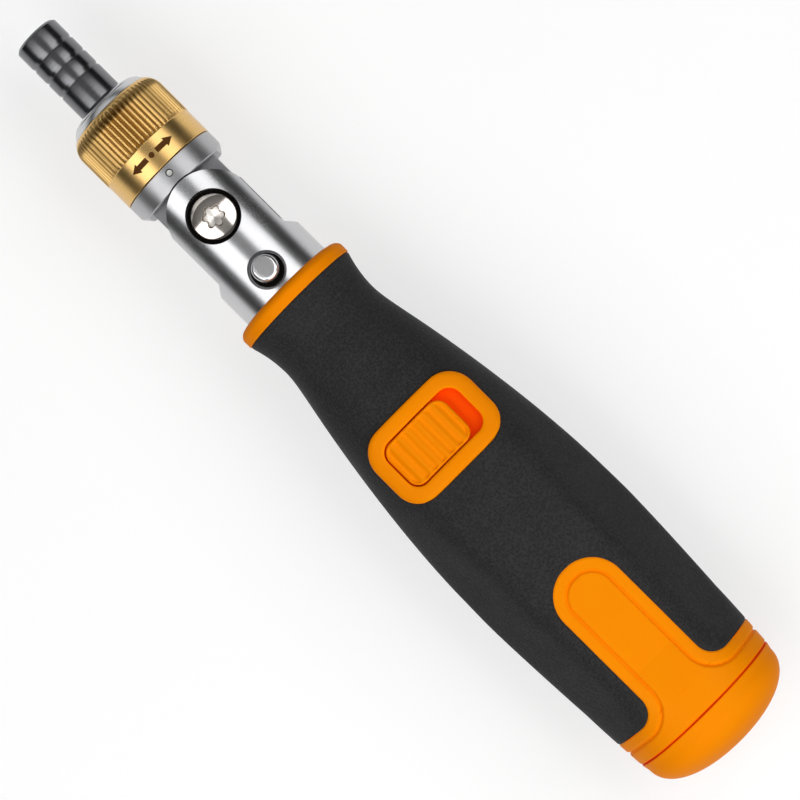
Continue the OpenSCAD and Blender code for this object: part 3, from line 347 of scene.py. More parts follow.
def round_pocket_group(soft_edge=0.04 * MM):
    """Mask of an upright post: 1 where hypot(x - Centre, y) is under Radius and z from Above to Below."""
    limits = {"Centre": 0.05, "Radius": 0.005, "Above": -1.0, "Below": 1.0}
    group, given, out = start_group("round_pocket", limits, ["Inside"])
    place = axes(group, given["Vector"])
    aside = calc(group, "SUBTRACT", place["X"], given["Centre"])
    level = put(group, "ShaderNodeCombineXYZ", {"X": aside, "Y": place["Y"]}).outputs[0]
    within = calc(group, "SUBTRACT", given["Radius"], scaled_length(group, level, (1, 1, 0)))
    over = calc(group, "GREATER_THAN", place["Z"], given["Above"])
    under = calc(group, "LESS_THAN", place["Z"], given["Below"])
    height = calc(group, "MULTIPLY", over, under)
    group.links.new(calc(group, "MULTIPLY", remap(group, within, 0.0, soft_edge), height), out["Inside"])
    return group


LATHE_RINGS, FINE_GRAIN, HANDLING = lathe_rings_group(), fine_grain_group(), handling_group()
EDGE_WEAR, ROUND_POCKET = edge_wear_group(), round_pocket_group()
print("groups:", [g.name for g in bpy.data.node_groups])

# %% [markdown]
# ## Metals
# Metals differ in colour, in how rough they are and in the marks of the tool that cut them, so
# one builder covers them all: lathe rings or an even grain, plus smudges from hands. Constants go
# straight onto the shader's sockets, and only what varies is linked.

# %% Metals of this tool
def parts_of(finish):
    """Node tree of a finish, its Principled shader and its object coordinates."""
    tree = finish.node_tree
    return tree, tree.nodes["Principled BSDF"], tree.nodes["Texture Coordinate"].outputs["Object"]


def start_material(name):
    """A material with only its Principled shader and object coordinates."""
    finish = bpy.data.materials.new(name)
    finish.use_nodes = True
    finish.node_tree.nodes.new("ShaderNodeTexCoord")
    return finish, *parts_of(finish)


def effect(tree, group, place, **values):
    """Places a shared node group in a material with its own values."""
    node = put(tree, "ShaderNodeGroup", node_tree=group)
    tree.links.new(place, node.inputs["Vector"])
    for key, value in values.items():
        node.inputs[key].default_value = value
    return node.outputs


def set_relief(tree, shader, height, strength, depth):
    """Links a height to the shader's normal as bump."""
    relief = put(tree, "ShaderNodeBump", {"Height": height, "Strength": strength, "Distance": depth})
    tree.links.new(relief.outputs[0], shader.inputs["Normal"])


def metal(name, light, dark, rough, density, bump, grain=False, cells=0.25, smudges=90.0):
    """Metal whose colour, roughness and bump follow lathe rings or grain, with smudges from hands."""
    finish, tree, shader, place = start_material(name)
    if grain:
        marks = effect(tree, FINE_GRAIN, place, Scale=density, Cells=cells)["Grain"]
    else:
        marks = effect(tree, LATHE_RINGS, place, Density=density)["Rings"]
    hands = effect(tree, HANDLING, place, Scale=smudges)["Smudge"]
    tree.links.new(blended(tree, marks, (*dark, 1), (*light, 1)), shader.inputs["Base Color"])
    uneven = calc(tree, "MULTIPLY", marks, hands)
    tree.links.new(remap(tree, uneven, 0.0, 1.0, *rough), shader.inputs["Roughness"])
    shader.inputs["Metallic"].default_value = 1.0
    set_relief(tree, shader, marks, bump, 0.2 * MM)
    return finish


# Each row: name, light and dark colour, roughness range, density of the marks and bump.
METALS = {
    "polished_steel": ("dark_chrome", (0.20, 0.20, 0.21), (0.155, 0.155, 0.16), (0.21, 0.29), 1700.0, 0.02),
    "satin_steel": ("satin_chrome", (0.64, 0.64, 0.65), (0.56, 0.56, 0.57), (0.19, 0.27), 1500.0, 0.02),
    "brass": ("turned_brass", (0.80, 0.52, 0.20), (0.66, 0.40, 0.13), (0.26, 0.36), 2400.0, 0.03),
    "nickel": ("warm_nickel", (0.76, 0.70, 0.64), (0.64, 0.58, 0.52), (0.12, 0.22), 900.0, 0.03),
    "gear_steel": ("hardened_steel", (0.42, 0.42, 0.44), (0.30, 0.30, 0.32), (0.30, 0.42), 2600.0, 0.08),
    "magnet": ("plated_magnet", (0.46, 0.46, 0.47), (0.34, 0.34, 0.36), (0.25, 0.4), 1800.0, 0.05),
    "spring_steel": ("spring_wire", (0.62, 0.62, 0.64), (0.48, 0.48, 0.50), (0.25, 0.38), 2400.0, 0.06),
    "bronze": ("sintered_bronze", (0.62, 0.44, 0.24), (0.46, 0.31, 0.16), (0.35, 0.5), 3000.0, 0.15),
    "bit_steel": ("bit_steel", (0.52, 0.52, 0.53), (0.40, 0.40, 0.42), (0.28, 0.4), 2600.0, 0.07),
}
TURNED = ("polished_steel", "satin_steel", "brass")
FINISHES = {slot: metal(*row, slot not in TURNED) for slot, row in METALS.items()}
print("metals:", list(FINISHES))

# %% [markdown]
# ## Plastics
# Moulded plastic drifts a little between two shades, and its grain gives it bump. The soft grip is
# coarser: there the grain also speckles the colour. Worn edges are paler, as a mask blends them in.

# %% Plastics of this tool
def plastic(name, light, dark, rough, scale, bump, cells=0.3, worn=None, gloss=0.5, speckle=0.0,
            smudges=45.0):
    """Moulded plastic: two shades that drift, grain as bump and speckle, and edges worn paler."""
    finish, tree, shader, place = start_material(name)
    grain = effect(tree, FINE_GRAIN, place, Scale=scale, Cells=cells)
    hands = effect(tree, HANDLING, place, Scale=smudges)["Smudge"]
    drift = grain["Patches"]
    if speckle:
        drift = remap(tree, mixed(tree, speckle, drift, grain["Grain"]), 0.3, 0.62)
    colour = blended(tree, drift, (*dark, 1), (*light, 1))
    if worn:
        colour = blended(tree, effect(tree, EDGE_WEAR, place)["Edge"], colour, (*worn, 1))
    tree.links.new(colour, shader.inputs["Base Color"])
    tree.links.new(remap(tree, hands, 0.0, 1.0, *rough), shader.inputs["Roughness"])
    shader.inputs["Specular IOR Level"].default_value = gloss
    set_relief(tree, shader, grain["Grain"], bump, 0.3 * MM)
    return finish


ORANGE = dict(light=(1.0, 0.29, 0.0), dark=(1.0, 0.265, 0.0), rough=(0.42, 0.54), scale=2600.0, bump=0.03,
              cells=0.2, worn=(1.0, 0.32, 0.0), gloss=0.03)
BLACK = dict(light=(0.039, 0.039, 0.0395), dark=(0.021, 0.021, 0.0215), rough=(0.46, 0.56), scale=2100.0,
             bump=0.6, cells=0.5, gloss=0.03, speckle=0.8)
DARK = dict(light=(0.050, 0.050, 0.052), dark=(0.036, 0.036, 0.038), rough=(0.42, 0.55), scale=1800.0,
            bump=0.06, worn=(0.09, 0.09, 0.09))
for slot, look in (("orange_plastic", ORANGE), ("black_grip", BLACK), ("dark_plastic", DARK)):
    FINISHES[slot] = plastic(slot, **look)
slot_of = {part["node"]: part["material_slot"] for part in frame["record"]["subparts"]}
for node_name, node in nodes.items():
    node.data.materials.clear()
    node.data.materials.append(FINISHES[slot_of[node_name]])
print("finishes:", len(FINISHES), "on", len(nodes), "nodes")

# %% [markdown]
# ## Neck and ratchet body
# The neck is milled, so it has an even grain where the turned pieces have rings. The round recess of
# the pivot and the well of the button are darkened with painted shade. The ratchet body has a dimple
# with white paint in it, the mark that the ring is set to, and painted shade round that paint. The
# shoulder and the tang behind it are left as cut, so they are duller than the turned round. All of
# these are colours laid over a finish by a mask, which needs no mesh of its own and no image.

# %% Colours laid over a finish
def overlay(finish, mask, colour, rough=None):
    """Blends a colour, and a roughness where one is given, into a finish by a mask."""
    tree, shader, _ = parts_of(finish)
    base, dull = shader.inputs["Base Color"], shader.inputs["Roughness"]
    tree.links.new(blended(tree, mask, base.links[0].from_socket, (*colour, 1)), base)
    if rough is not None:
        tree.links.new(mixed(tree, mask, dull.links[0].from_socket, rough), dull)


def along_tool(finish, start, end):
    """Mask that goes from 0 at station start to 1 at station end."""
    tree, _, place = parts_of(finish)
    return remap(tree, axes(tree, place)["X"], start * MM, end * MM)


def off_axis(finish, start, end):
    """Mask that goes from 0 at radius start to 1 at radius end round the tool's axis."""
    tree, _, place = parts_of(finish)
    return remap(tree, scaled_length(tree, place, (0, 1, 1)), start * MM, end * MM)


def add_pocket(finish, centre, radius, colour, rough=None, above=-1000.0, below=1000.0):
    """Overlays a colour inside an upright post at station centre, and gives its mask."""
    tree, _, place = parts_of(finish)
    limits = {"Centre": centre, "Radius": radius, "Above": above, "Below": below}
    post = {label: value * MM for label, value in limits.items()}
    inside = effect(tree, ROUND_POCKET, place, **post)["Inside"]
    overlay(finish, inside, colour, rough)
    return inside


print("masks:", [mask.__name__ for mask in (along_tool, off_axis, add_pocket)])

# %% [markdown]
# The recess and the well get painted shade up to just under their rims, so that the milled face
# stays clean. The dimple gets painted shade first and paint over its middle, and paint isn't metal.

# %% Finishes of the neck and the ratchet body
pivot_x, button_x, index_x, shoulder_x = 50.75, 64.95, 38.9, 41.75
recess_r, recess_top = 5.46, 9.9
well_x, well_r, well_top = button_x + 0.45, 3.36, 9.3
dimple_r, paint_r, dimple_low = 0.80, 0.60, 9.0
painted_shade, index_white, cut_steel = (0.012, 0.010, 0.009), (0.82, 0.81, 0.78), (0.38, 0.38, 0.39)
neck_steel = metal("milled_chrome", (0.57, 0.57, 0.58), (0.52, 0.52, 0.53), (0.25, 0.32), 1500.0, 0.02, True)
# Painted shade: the pivot's recess and the button's well are darkened where shade falls.
add_pocket(neck_steel, pivot_x, recess_r, painted_shade, below=recess_top)
add_pocket(neck_steel, well_x, well_r, painted_shade, below=well_top)
body_steel = metal("turned_chrome", (0.48, 0.48, 0.49), (0.43, 0.43, 0.44), (0.33, 0.41), 1500.0, 0.02)
# Painted shade round the dimple; the white in its middle is paint.
add_pocket(body_steel, index_x, dimple_r, painted_shade, above=dimple_low)
painted = add_pocket(body_steel, index_x, paint_r, index_white, above=dimple_low)
tree, shader, _ = parts_of(body_steel)
tree.links.new(remap(tree, painted, 0.0, 1.0, 1.0, 0.0), shader.inputs["Metallic"])
overlay(body_steel, along_tool(body_steel, shoulder_x - 0.03, shoulder_x + 0.03), cut_steel, 0.42)
for node_name, finish in (("neck_fork", neck_steel), ("ratchet_body", body_steel)):
    nodes[node_name].data.materials[0] = finish
print("dressed:", neck_steel.name, body_steel.name)

# %% [markdown]
# ## The nose
# The nose is a turned tube with three ring lines and a hexagonal socket. A hexagon in polar form
# is half the width across flats divided by the cosine of the angle from the nearest flat, so the
# socket wall is a grid like the outside is, and the lead-in cone is simply the greater of the two
# radii.

# %% Nose with its socket
nose_r, nose_bevel, mouth_r, socket_af, socket_depth = 5.0, 0.55, 4.15, 6.4, 12.5
gear_x, gear_end, gear_seat_r, journal_end, journal_r = 22.75, 31.75, 3.3, 36.7, 3.0
line_x, line_pitch, line_depth = 5.1, 3.7, 0.3
snap_start, snap_end, snap_r, snap_lip = 5.7, 6.7, 4.25, 0.05
magnet_r, magnet_end = 2.7, 15.5


def nose_outside():
    """A tube with a bevel at the mouth and three lines, each with a slope towards the tail and a
    steep back, then the seat of the gear and the journal."""
    line = ((-0.7, 0), (-0.02, line_depth), (0.12, line_depth), (0.22, 0))
    lines = [(x + dx, nose_r - drop) for x in line_x + line_pitch * np.arange(3) for dx, drop in line]
    corners = [(0, mouth_r), (0, nose_r - nose_bevel), (nose_bevel, nose_r), *lines, (gear_x, nose_r)]
    corners += [(gear_x, gear_seat_r), (gear_end, gear_seat_r), (gear_end, journal_r)]
    corners += [(journal_end, journal_r), (journal_end, 0)]
    return turned(filleted(corners, 0.1, 4))


def nose_inside(steps=180):
    """Socket wall: the greater of a hexagon, the lead-in cone and the snap ring's groove, closed by
    the magnet's hole."""
    groove_x = [snap_start, snap_start + snap_lip, snap_end - snap_lip, snap_end]
    x = np.r_[0, np.linspace(0.1, 1.0, 8), groove_x, socket_depth]
    a = full_turn(steps)
    hexagon = socket_af / 2 / np.cos((a + np.pi / 6) % (np.pi / 3) - np.pi / 6)
    in_groove = (x > snap_start + snap_lip / 2) & (x < snap_end - snap_lip / 2)
    r = np.maximum(hexagon, np.maximum(mouth_r - x, np.where(in_groove, snap_r, 0))[:, None])
    x = np.r_[x, socket_depth, magnet_end, magnet_end]
    r = np.vstack([r, np.full((2, steps), magnet_r), np.zeros((1, steps))])
    return round_axis(x[:, None], r, a)


nose_patches = [(nose_outside(), True), (nose_inside(), True)]
add_piece("nose", nose_patches, "spindle", "polished_steel", ["bit_holder"])

# %% [markdown]
# ## The front cap
# A domed nut closes the ratchet. It is a plain turned ring, so a closed profile with rounded
# corners carried round the axis is all that it needs. The soft corners catch the light as thin
# bright rings.

# %% Front cap
ring_x, body_x = 21.0, 37.2
cap_bore, cap_thread_r, cap_floor_x, cap_end = 5.05, 8.3, 22.0, 24.0
cap_front = [(18.35, cap_bore), (18.5, 5.6), (19.2, 7.65), (19.45, 8.0), (19.6, 8.0), (19.75, 8.42)]
cap_front += [(ring_x, 9.3)]
cap_back = [(cap_end, 9.0), (cap_end, cap_thread_r), (cap_floor_x, cap_thread_r), (cap_floor_x, cap_bore)]
cap_rounding = [0.05, 0.2, 0.25, 0.08, 0.06, 0.15, 0.2, 0.1, 0.1, 0.1, 0.1]
cap_outline = filleted(cap_front + cap_back, cap_rounding, 6, True)
add_piece("cap_nut", [(turned(cap_outline), True)], "head", "satin_steel", ["front_cap"])

# %% [markdown]
# ## The brass reversing ring
# Sixty rounded flutes run from the rounded front to a smooth band. Cutting sixty grooves with a
# boolean would work, but as a formula it is one cosine: the radius falls by the flute depth times
# (1 - cos 60 a) / 2, faded in at the front and stopped at the band. Raising the cosine to a
# power makes the crests wider than the valleys.

# %% Reversing ring
ring_r, flute_depth, flute_end, band_drop = 10.85, 0.42, 31.4, 0.1
ring_gap, ring_front_r, ring_bore, crest_x = 0.05, 9.45, 8.38, 24.2
flute_count, flute_power, flute_fade, flute_shade_line = 60, 1.3, 1.3, 0.16


def ease(t):
    """Smooth step from 0 to 1: 3 t^2 - 2 t^3, held at its ends."""
    t = np.clip(t, 0, 1)
    return t * t * (3 - 2 * t)


def ring_grid(per_flute=16):
    """Closed profile carried round X, with the radius lowered by the flutes along the fluted part."""
    front_x, back_x, band_r = ring_x + ring_gap, body_x - ring_gap, ring_r - band_drop
    t = np.linspace(0, 1, 34)[:, None]
    front = bent(*np.array([(front_x, ring_front_r), (22.5, ring_r), (crest_x, ring_r)]), t)
    fluted = np.stack([np.linspace(crest_x + 0.3, flute_end - 0.02, 10), np.full(10, ring_r)], -1)
    corners = [(flute_end, ring_r), (flute_end + band_drop, band_r), (back_x, band_r), (back_x, ring_bore)]
    corners += [(cap_end + ring_gap, ring_bore), (cap_end + ring_gap, 9.05)]
    corners += [(front_x, ring_front_r - 0.1), (front_x, ring_front_r)]
    rest = filleted(corners, [0, 0.05, 0.22, 0.1, 0.1, 0.1, 0.05, 0], 5)
    x, r = np.vstack([front, fluted, rest]).T[..., None]
    outside = np.arange(len(x))[:, None] < len(front) + len(fluted)
    depth = np.where(outside, flute_depth * ease((x - ring_x - 0.35) / flute_fade), 0)
    a = full_turn(flute_count * per_flute)
    return round_axis(x, r - depth * (0.5 - 0.5 * np.cos(flute_count * a)) ** flute_power, a)


def fluted_brass():
    """Brass with painted shade low in the flutes: 0 near the crest, 1 in the valley, behind the rounded
    front.
    """
    finish = metal("fluted_brass", (0.82, 0.54, 0.21), (0.68, 0.42, 0.14), (0.26, 0.36), 2400.0, 0.03)
    sunk = off_axis(finish, ring_r - flute_shade_line, ring_r - flute_depth)
    flute_shade = calc(finish.node_tree, "MULTIPLY", sunk, along_tool(finish, ring_x + 1.0, ring_x + 2.4))
    # Painted shade: the valleys of the flutes are darkened towards their bottom.
    overlay(finish, flute_shade, (0.24, 0.12, 0.02))
    return finish


ring_brass = fluted_brass()
add_piece("reversing_ring", [(ring_grid(), True)], "selector", "brass", ["selector_ring"], ring_brass, 50)

# %% [markdown]
# The two arrows and the dot are filled with dark brown. Each is a thin inlay that follows the
# curve of the band: its outline is a half width that changes along its length.

# %% Marks on the ring
mark_x, mark_r, mark_proud, mark_depth, mark_tip = 34.05, ring_r - band_drop, 0.015, 0.12, 0.01
dot_r, arrow_base, arrow_neck, arrow_tip, shaft_half, barb_half = 0.6, 1.25, 3.65, 5.55, 0.57, 1.08
BROWN = dict(light=(0.115, 0.042, 0.007), dark=(0.08, 0.028, 0.004), rough=(0.5, 0.6), scale=3000.0,
             bump=0.1, gloss=0.1)
mark_brown = plastic("mark_brown", **BROWN)


def slab_patches(top, foot):
    """Closed slab between two grids of one shape: both grids and the four walls between their edges."""
    edges = [(grid[0], grid[-1], grid[:, 0], grid[:, -1]) for grid in (top, foot)]
    return [(grid, False) for grid in (top, foot, *map(np.stack, zip(*edges)))]


def inlay(length, half):
    """Thin slab round the ring: at each arc length it spans mark_x - half..mark_x + half, at two radii."""
    a = np.asarray(length)[:, None] / mark_r
    x = mark_x + np.maximum(half, mark_tip)[:, None] * np.linspace(-1, 1, 9)
    return slab_patches(round_axis(x, mark_r + mark_proud, a), round_axis(x, mark_r - mark_depth, a))


def arrow_inlay(side):
    """Arrow: a shaft of one half width, then a head that narrows to a point."""
    taper = np.linspace(0, 1, 10)
    head = arrow_neck + 0.0001 + (arrow_tip - arrow_neck) * taper
    run = np.r_[np.linspace(arrow_base, arrow_neck, 8), head]
    return inlay(side * run, np.r_[np.full(8, shaft_half), barb_half * (1 - taper)])


dot_run = dot_r * np.sin(np.linspace(-np.pi / 2, np.pi / 2, 15))
dot = inlay(dot_run, np.sqrt(np.maximum(dot_r**2 - dot_run**2, 0)))
add_piece("ring_marks", arrow_inlay(1) + arrow_inlay(-1) + dot, "selector", "brass", finish=mark_brown)

# %% [markdown]
# ## The pivot screw
# A low button head sits in a round recess of the neck. Its star socket has slightly tapered walls
# and a hollow floor, as a pressed socket has, so light falls off towards the bottom. Over that, the
# socket's walls carry painted shade and its floor a painted highlight. In polar form the star is a
# circle whose radius swings six times round: the head is one grid of rings from the middle of the
# socket out over the dome and down to the seat.

# %% Pivot screw
head_seat, head_top, head_r, head_dome_r = 6.9, 9.75, 4.55, 10.0
star_points, star_r, star_swing, star_flatten, star_taper = 6, 2.06, 0.33, 0.04, 0.14
star_floor, star_hollow, edge_width = head_top - 1.25, 0.42, 0.06
thread_r, thread_end = 2.0, -5.9


def screw_rings(steps=180):
    """Rings round the pivot: hollow floor, tapered star wall, narrow edge, spherical dome, rim, thread."""
    a, same = full_turn(steps), np.ones(steps)
    swing = star_points * a
    star = star_r + star_swing * np.cos(swing) - star_flatten * np.cos(2 * swing)
    start = star + edge_width
    out_r = start + (head_r - 0.12 - start) * np.linspace(0, 1, 22)[:, None]
    dome = head_top - head_dome_r + np.sqrt(head_dome_r**2 - out_r**2)
    wall = dome[0] - 0.07 - star_floor
    floor_r = (0, 0.2, 0.6, 1.0, 1.45)
    rings = [(r * same, (star_floor - star_hollow * (1 - r / 1.5)) * same) for r in floor_r]
    rings += [(star * (1 - star_taper * (1 - t)), star_floor + wall * t) for t in (0, 0.04, 0.5, 1)]
    rings += list(zip(out_r, dome))
    rim_z = dome[-1, 0]
    below = [(head_r - 0.04, rim_z - 0.07), (head_r, rim_z - 0.17), (head_r, head_seat + 0.15)]
    below += [(head_r - 0.15, head_seat), (thread_r, head_seat), (thread_r, thread_end + 0.3)]
    below += [(thread_r - 0.3, thread_end), (0, thread_end)]
    rings += [(r * same, z * same) for r, z in below]
    r, z = np.array(rings).transpose(1, 0, 2)
    return np.stack([pivot_x + r * np.cos(a), r * np.sin(a), z], -1)


nickel_light, nickel_dark = (0.80, 0.75, 0.69), (0.70, 0.64, 0.58)
screw_nickel = metal("pressed_nickel", nickel_light, nickel_dark, (0.12, 0.20), 900.0, 0.03, True)
socket_painted_shade, socket_painted_highlight = (0.13, 0.10, 0.08), (0.92, 0.88, 0.82)
socket_reach, wall_foot = 2.5, star_floor + 0.03
# Painted shade on the walls of the star socket, and a painted highlight on its hollow floor.
add_pocket(screw_nickel, pivot_x, socket_reach, socket_painted_shade, 0.3, wall_foot, head_top - 0.4)
add_pocket(screw_nickel, pivot_x, socket_reach, socket_painted_highlight, 0.42, star_floor - 0.5, wall_foot)
add_piece("star_screw", [(screw_rings(), True)], "handle", "nickel", ["pivot_screw"], screw_nickel, 50)

# %% [markdown]
# ## The lock button
# The button is a short round stud whose flat top is set a little towards the tip, so that its
# bevel is broad on the thumb's side. It is a stack of rings with their own centres. Below it a stem
# with a slope draws the lock bar back, as three slabs worked out from their corners.

# %% Lock button
button_top, button_r, button_foot, top_shift = 11.7, 2.72, 3.1, -0.25
stem_low, stem_front, stem_half = -2.7, -2.2, 1.7
button_light, button_dark = (0.86, 0.86, 0.87), (0.74, 0.74, 0.75)
button_steel = metal("brushed_button", button_light, button_dark, (0.24, 0.34), 2100.0, 0.10, True)


def button_rings(steps=120):
    """Rings (centre, radius, depth under the top): flat top, soft edge, bevel, wall and underside."""
    a, foot = full_turn(steps), button_top - button_foot
    rings = [(top_shift, 0, 0), (top_shift, 1.2, 0), (top_shift, 2.08, 0), (top_shift, 2.12, 0.01)]
    rings += [(-0.23, 2.18, 0.04), (-0.11, 2.52, 0.3), (-0.08, 2.61, 0.39), (-0.05, 2.68, 0.55)]
    rings += [(0, button_r, 0.8), (0, button_r, foot), (0, 0, foot)]
    centre, r, depth = (np.array(v)[:, None] for v in zip(*rings))
    return np.stack([button_x + centre + r * np.cos(a), r * np.sin(a), button_top - depth + 0 * a], -1)


def stem_slab(corners, half):
    """A slab between y = -half and y = half from four (x, z) corners in order round it."""
    x, z = np.array(corners)[[[0, 1], [3, 2]]].transpose(2, 0, 1)
    return slab_patches(*(np.stack([button_x + x, np.full_like(x, y), z], -1) for y in (-half, half)))


stem = [(stem_front, 3.3), (stem_front, stem_low), (stem_front + 1, stem_low), (stem_front + 1, 3.3)]
slope = [(-1.4, 3.2), (-1.4, -1.7), (1.7, 1.4), (1.7, 3.2)]
toe = [(-4.7, -1.6), (-4.7, stem_low + 0.01), (stem_front + 0.2, stem_low + 0.01), (stem_front + 0.2, -1.6)]
button_patches = [(button_rings(), True)] + stem_slab(stem, stem_half)
button_patches += stem_slab(slope, stem_half - 0.01) + stem_slab(toe, stem_half - 0.02)
add_piece("push_button", button_patches, "button", "polished_steel", ["lock_button"], button_steel)

# %% [markdown]
# ## The form of the handle
# The handle is a turned barrel with six flats. In polar form a flat at distance f, facing the
# angle b, is the curve f / cos(a - b), so the skin is the least of the barrel's radius and six
# such curves. A soft minimum, -k log(sum of exp(-r / k)), rounds the edges where they meet.

# %% Radius of the handle's skin
grip_x, waist_x, belly_x, band_x, seam_x = 73.25, 81.55, 144.65, 178.45, 184.25
waist_r, flare_r, belly_r, tail_r = 11.95, 13.35, 19.1, 17.05
front_flat_x, side_flat_x, flat_run, flat_fade, flat_share = 95.25, 115.25, 23.0, 14.0, 0.0945
edge_softness, swell_onset, fall_power = 0.45, 0.07, 1.35


def barrel_r(x):
    """Radius over the edges: parabola at the flare, sine swell to the belly, power curve to the seam."""
    u = np.clip((x - waist_x) / (belly_x - waist_x), 0, 1)
    swell = np.sin(np.pi / 2 * u * (1 - np.exp(-u / swell_onset)))
    flare = np.clip((waist_x - x) / (waist_x - grip_x), 0, None)
    fall = np.clip((x - belly_x) / (seam_x - belly_x), 0, None)
    r = waist_r + (flare_r - waist_r) * flare**2 + (belly_r - waist_r) * swell
    return r - (belly_r - tail_r) * fall**fall_power


def flat_r(x, start):
    """Distance of a flat from the axis: it comes in over flat_run and fades out near the seam."""
    share = np.minimum(np.clip((x - start) / flat_run, 0, 1), 1.2 * (seam_x - x) / flat_fade - 0.2)
    return barrel_r(np.maximum(x, start)) * (1 - flat_share * share)


def skin_r(x, a):
    """Soft least of the barrel and six flats at angle a from +Z; flats that face away stay far out."""
    x, a = np.broadcast_arrays(np.asarray(x, float), np.asarray(a, float))
    facing = np.radians([0, 180, 60, 120, 240, 300])
    start = np.repeat([front_flat_x, side_flat_x], [2, 4])
    flats = flat_r(x[..., None], start) / np.maximum(np.cos(a[..., None] - facing), 0.2)
    every = np.concatenate([barrel_r(x)[..., None], flats], -1)
    least = every.min(-1, keepdims=True)
    return least[..., 0] - edge_softness * np.log(np.exp(-(every - least) / edge_softness).sum(-1))


def on_skin(x, a, dip=0.0):
    """Point of the skin at station x and angle a, lowered by dip."""
    return round_axis(x, skin_r(x, a) - dip, a)


def plan_angle(x, y):
    """Angle at which the skin has the side distance y, by halving steps of a = asin(y / r)."""
    a = np.arctan2(y, tail_r) + 0 * x
    for _ in range(40):
        a = 0.5 * a + 0.5 * np.arcsin(np.clip(y / skin_r(x, a), -1, 1))
    return a


flat_and_edge = skin_r(belly_x, np.array([0, np.pi / 2]))
print("skin at the belly, over a flat and over an edge:", flat_and_edge.round(2))

# %% [markdown]
# ## Where orange meets black
# The tongue and the tail band are one orange moulding. Seen from above, their border is a strip
# with rounded corners that runs into a band, with a hollow fillet on each side. A signed distance
# to that border, positive inside the orange, serves three ends: it shapes the border, it dips
# both surfaces into a fine seam, and it draws the line that follows the border.

# %% Distance to the border of the orange
tongue_x, tongue_half, tongue_corner, tongue_fillet = 146.25, 7.45, 7.25, 4.25


def outside_of(a, b):
    """Distance from the corner of a quarter plane: hypot of the positive parts, else the greater part."""
    return np.hypot(np.maximum(a, 0), np.maximum(b, 0)) + np.minimum(np.maximum(a, b), 0)


def orange_distance(x, y):
    """Distance inside the orange: tongue and band joined by a round fillet of radius f, as the
    distance outside the corner (f + band, f + tongue), less f."""
    core = outside_of(tongue_x + tongue_corner - x, np.abs(y) - (tongue_half - tongue_corner))
    tongue, band = tongue_corner - core, x - band_x
    return outside_of(tongue_fillet + band, tongue_fillet + tongue) - tongue_fillet


def border_half(x):
    """Half width of the orange at station x, from the tongue's front to the band."""
    nose = np.clip(tongue_x + tongue_corner - x, 0, tongue_corner)
    tail = np.clip(x - band_x + tongue_fillet, 0, tongue_fillet)
    front = tongue_half - tongue_corner + np.sqrt(tongue_corner**2 - nose**2)
    return front + tongue_fillet - np.sqrt(np.maximum(tongue_fillet**2 - tail**2, 0))


def seam_dip(distance, width=0.35, depth=0.16):
    """How far the surface dips at a distance from the border."""
    return depth * (1 - ease(np.abs(distance) / width))


def line_dip(distance, place=2.55, half=0.3, depth=0.5):
    """A fine round-bottomed line at one distance from the border."""
    return depth * np.exp(-(((distance - place) / half) ** 2))


print("border half width at the band:", round(float(border_half(band_x)), 2))

# %% [markdown]
# ## The soft grip
# The grip is the whole skin from the collar to the band, less the tongue and the opening for the
# switch. Two grids share it: one full tube up to the front of the tongue, and one that runs round
# the back from one border of the tongue to the other. The opening is made by leaving a window of
# quads out and filling it with rings that change from that window to the bezel's outline. Rows and
# columns lie closer together near the borders, where the skin dips.

# %% The two grids of the grip
back_run = np.r_[0, 0.008, 0.016, 0.03, np.linspace(0.05, 0.95, 150), 0.97, 0.984, 0.992, 1]


def grip_front():
    """Stations, angles and points of the tube from the collar to the tongue."""
    edge = float(plan_angle(tongue_x, border_half(tongue_x)))
    cols = np.r_[np.linspace(-edge, edge, 40), edge + (2 * np.pi - 2 * edge) * back_run[1:-1]]
    angles = np.sort((cols + np.pi) % (2 * np.pi) - np.pi)
    collar_rows = grip_x + np.array([0, 0.06, 0.16, 0.3, 0.6])
    tongue_rows = tongue_x - np.array([0.45, 0.3, 0.2, 0.1, 0.0])
    rows = np.r_[collar_rows, np.linspace(grip_x + 1.2, tongue_x - 0.7, 170), tongue_rows]
    x, a = np.meshgrid(rows, angles, indexing="ij")
    seam = seam_dip(orange_distance(x, on_skin(x, a)[..., 1]))
    return rows, angles, on_skin(x, a, np.where(np.cos(a) > 0, seam, 0) + seam_dip(x - grip_x, 0.4, 0.25))


def grip_back():
    """Skin round the back, at each station from one border of the tongue to the other."""
    tongue_rows = tongue_x + np.array([0, 0.05, 0.15, 0.3, 0.5, 0.8, 1.2, 1.7, 2.3, 3.0])
    band_rows = band_x - np.array([4.2, 3.4, 2.7, 2.1, 1.6, 1.2, 0.9, 0.6, 0.4, 0.25, 0.15, 0.07, 0])
    rows = np.r_[tongue_rows, np.linspace(tongue_x + 4, band_x - 5, 70), band_rows]
    border = plan_angle(rows, border_half(rows))[:, None]
    x, a = np.broadcast_arrays(rows[:, None], border + (2 * np.pi - 2 * border) * back_run)
    near = np.where(np.cos(a) > -0.2, orange_distance(x, on_skin(x, a)[..., 1]), x - band_x)
    return on_skin(x, a, seam_dip(near))


grip_rows, grip_angles, grip_tube = grip_front()
print("tube of the grip:", grip_tube.shape[:2])

# %% [markdown]
# The bezel's outline is a rectangle with rounded corners. From each point of the window a ray runs
# to the middle of the switch, and halving an interval finds where it crosses that outline.

# %% Grip with the opening for the switch
switch_x, bezel_hx, bezel_hy, bezel_corner = 110.85, 8.5, 12.75, 5.6
window_reach, window_angle, grip_wall = 11.0, 1.05, 1.6


def rounded_distance(px, py, hx, hy, corner):
    """Signed distance to a rectangle with rounded corners, negative inside."""
    return outside_of(np.abs(px) - (hx - corner), np.abs(py) - (hy - corner)) - corner


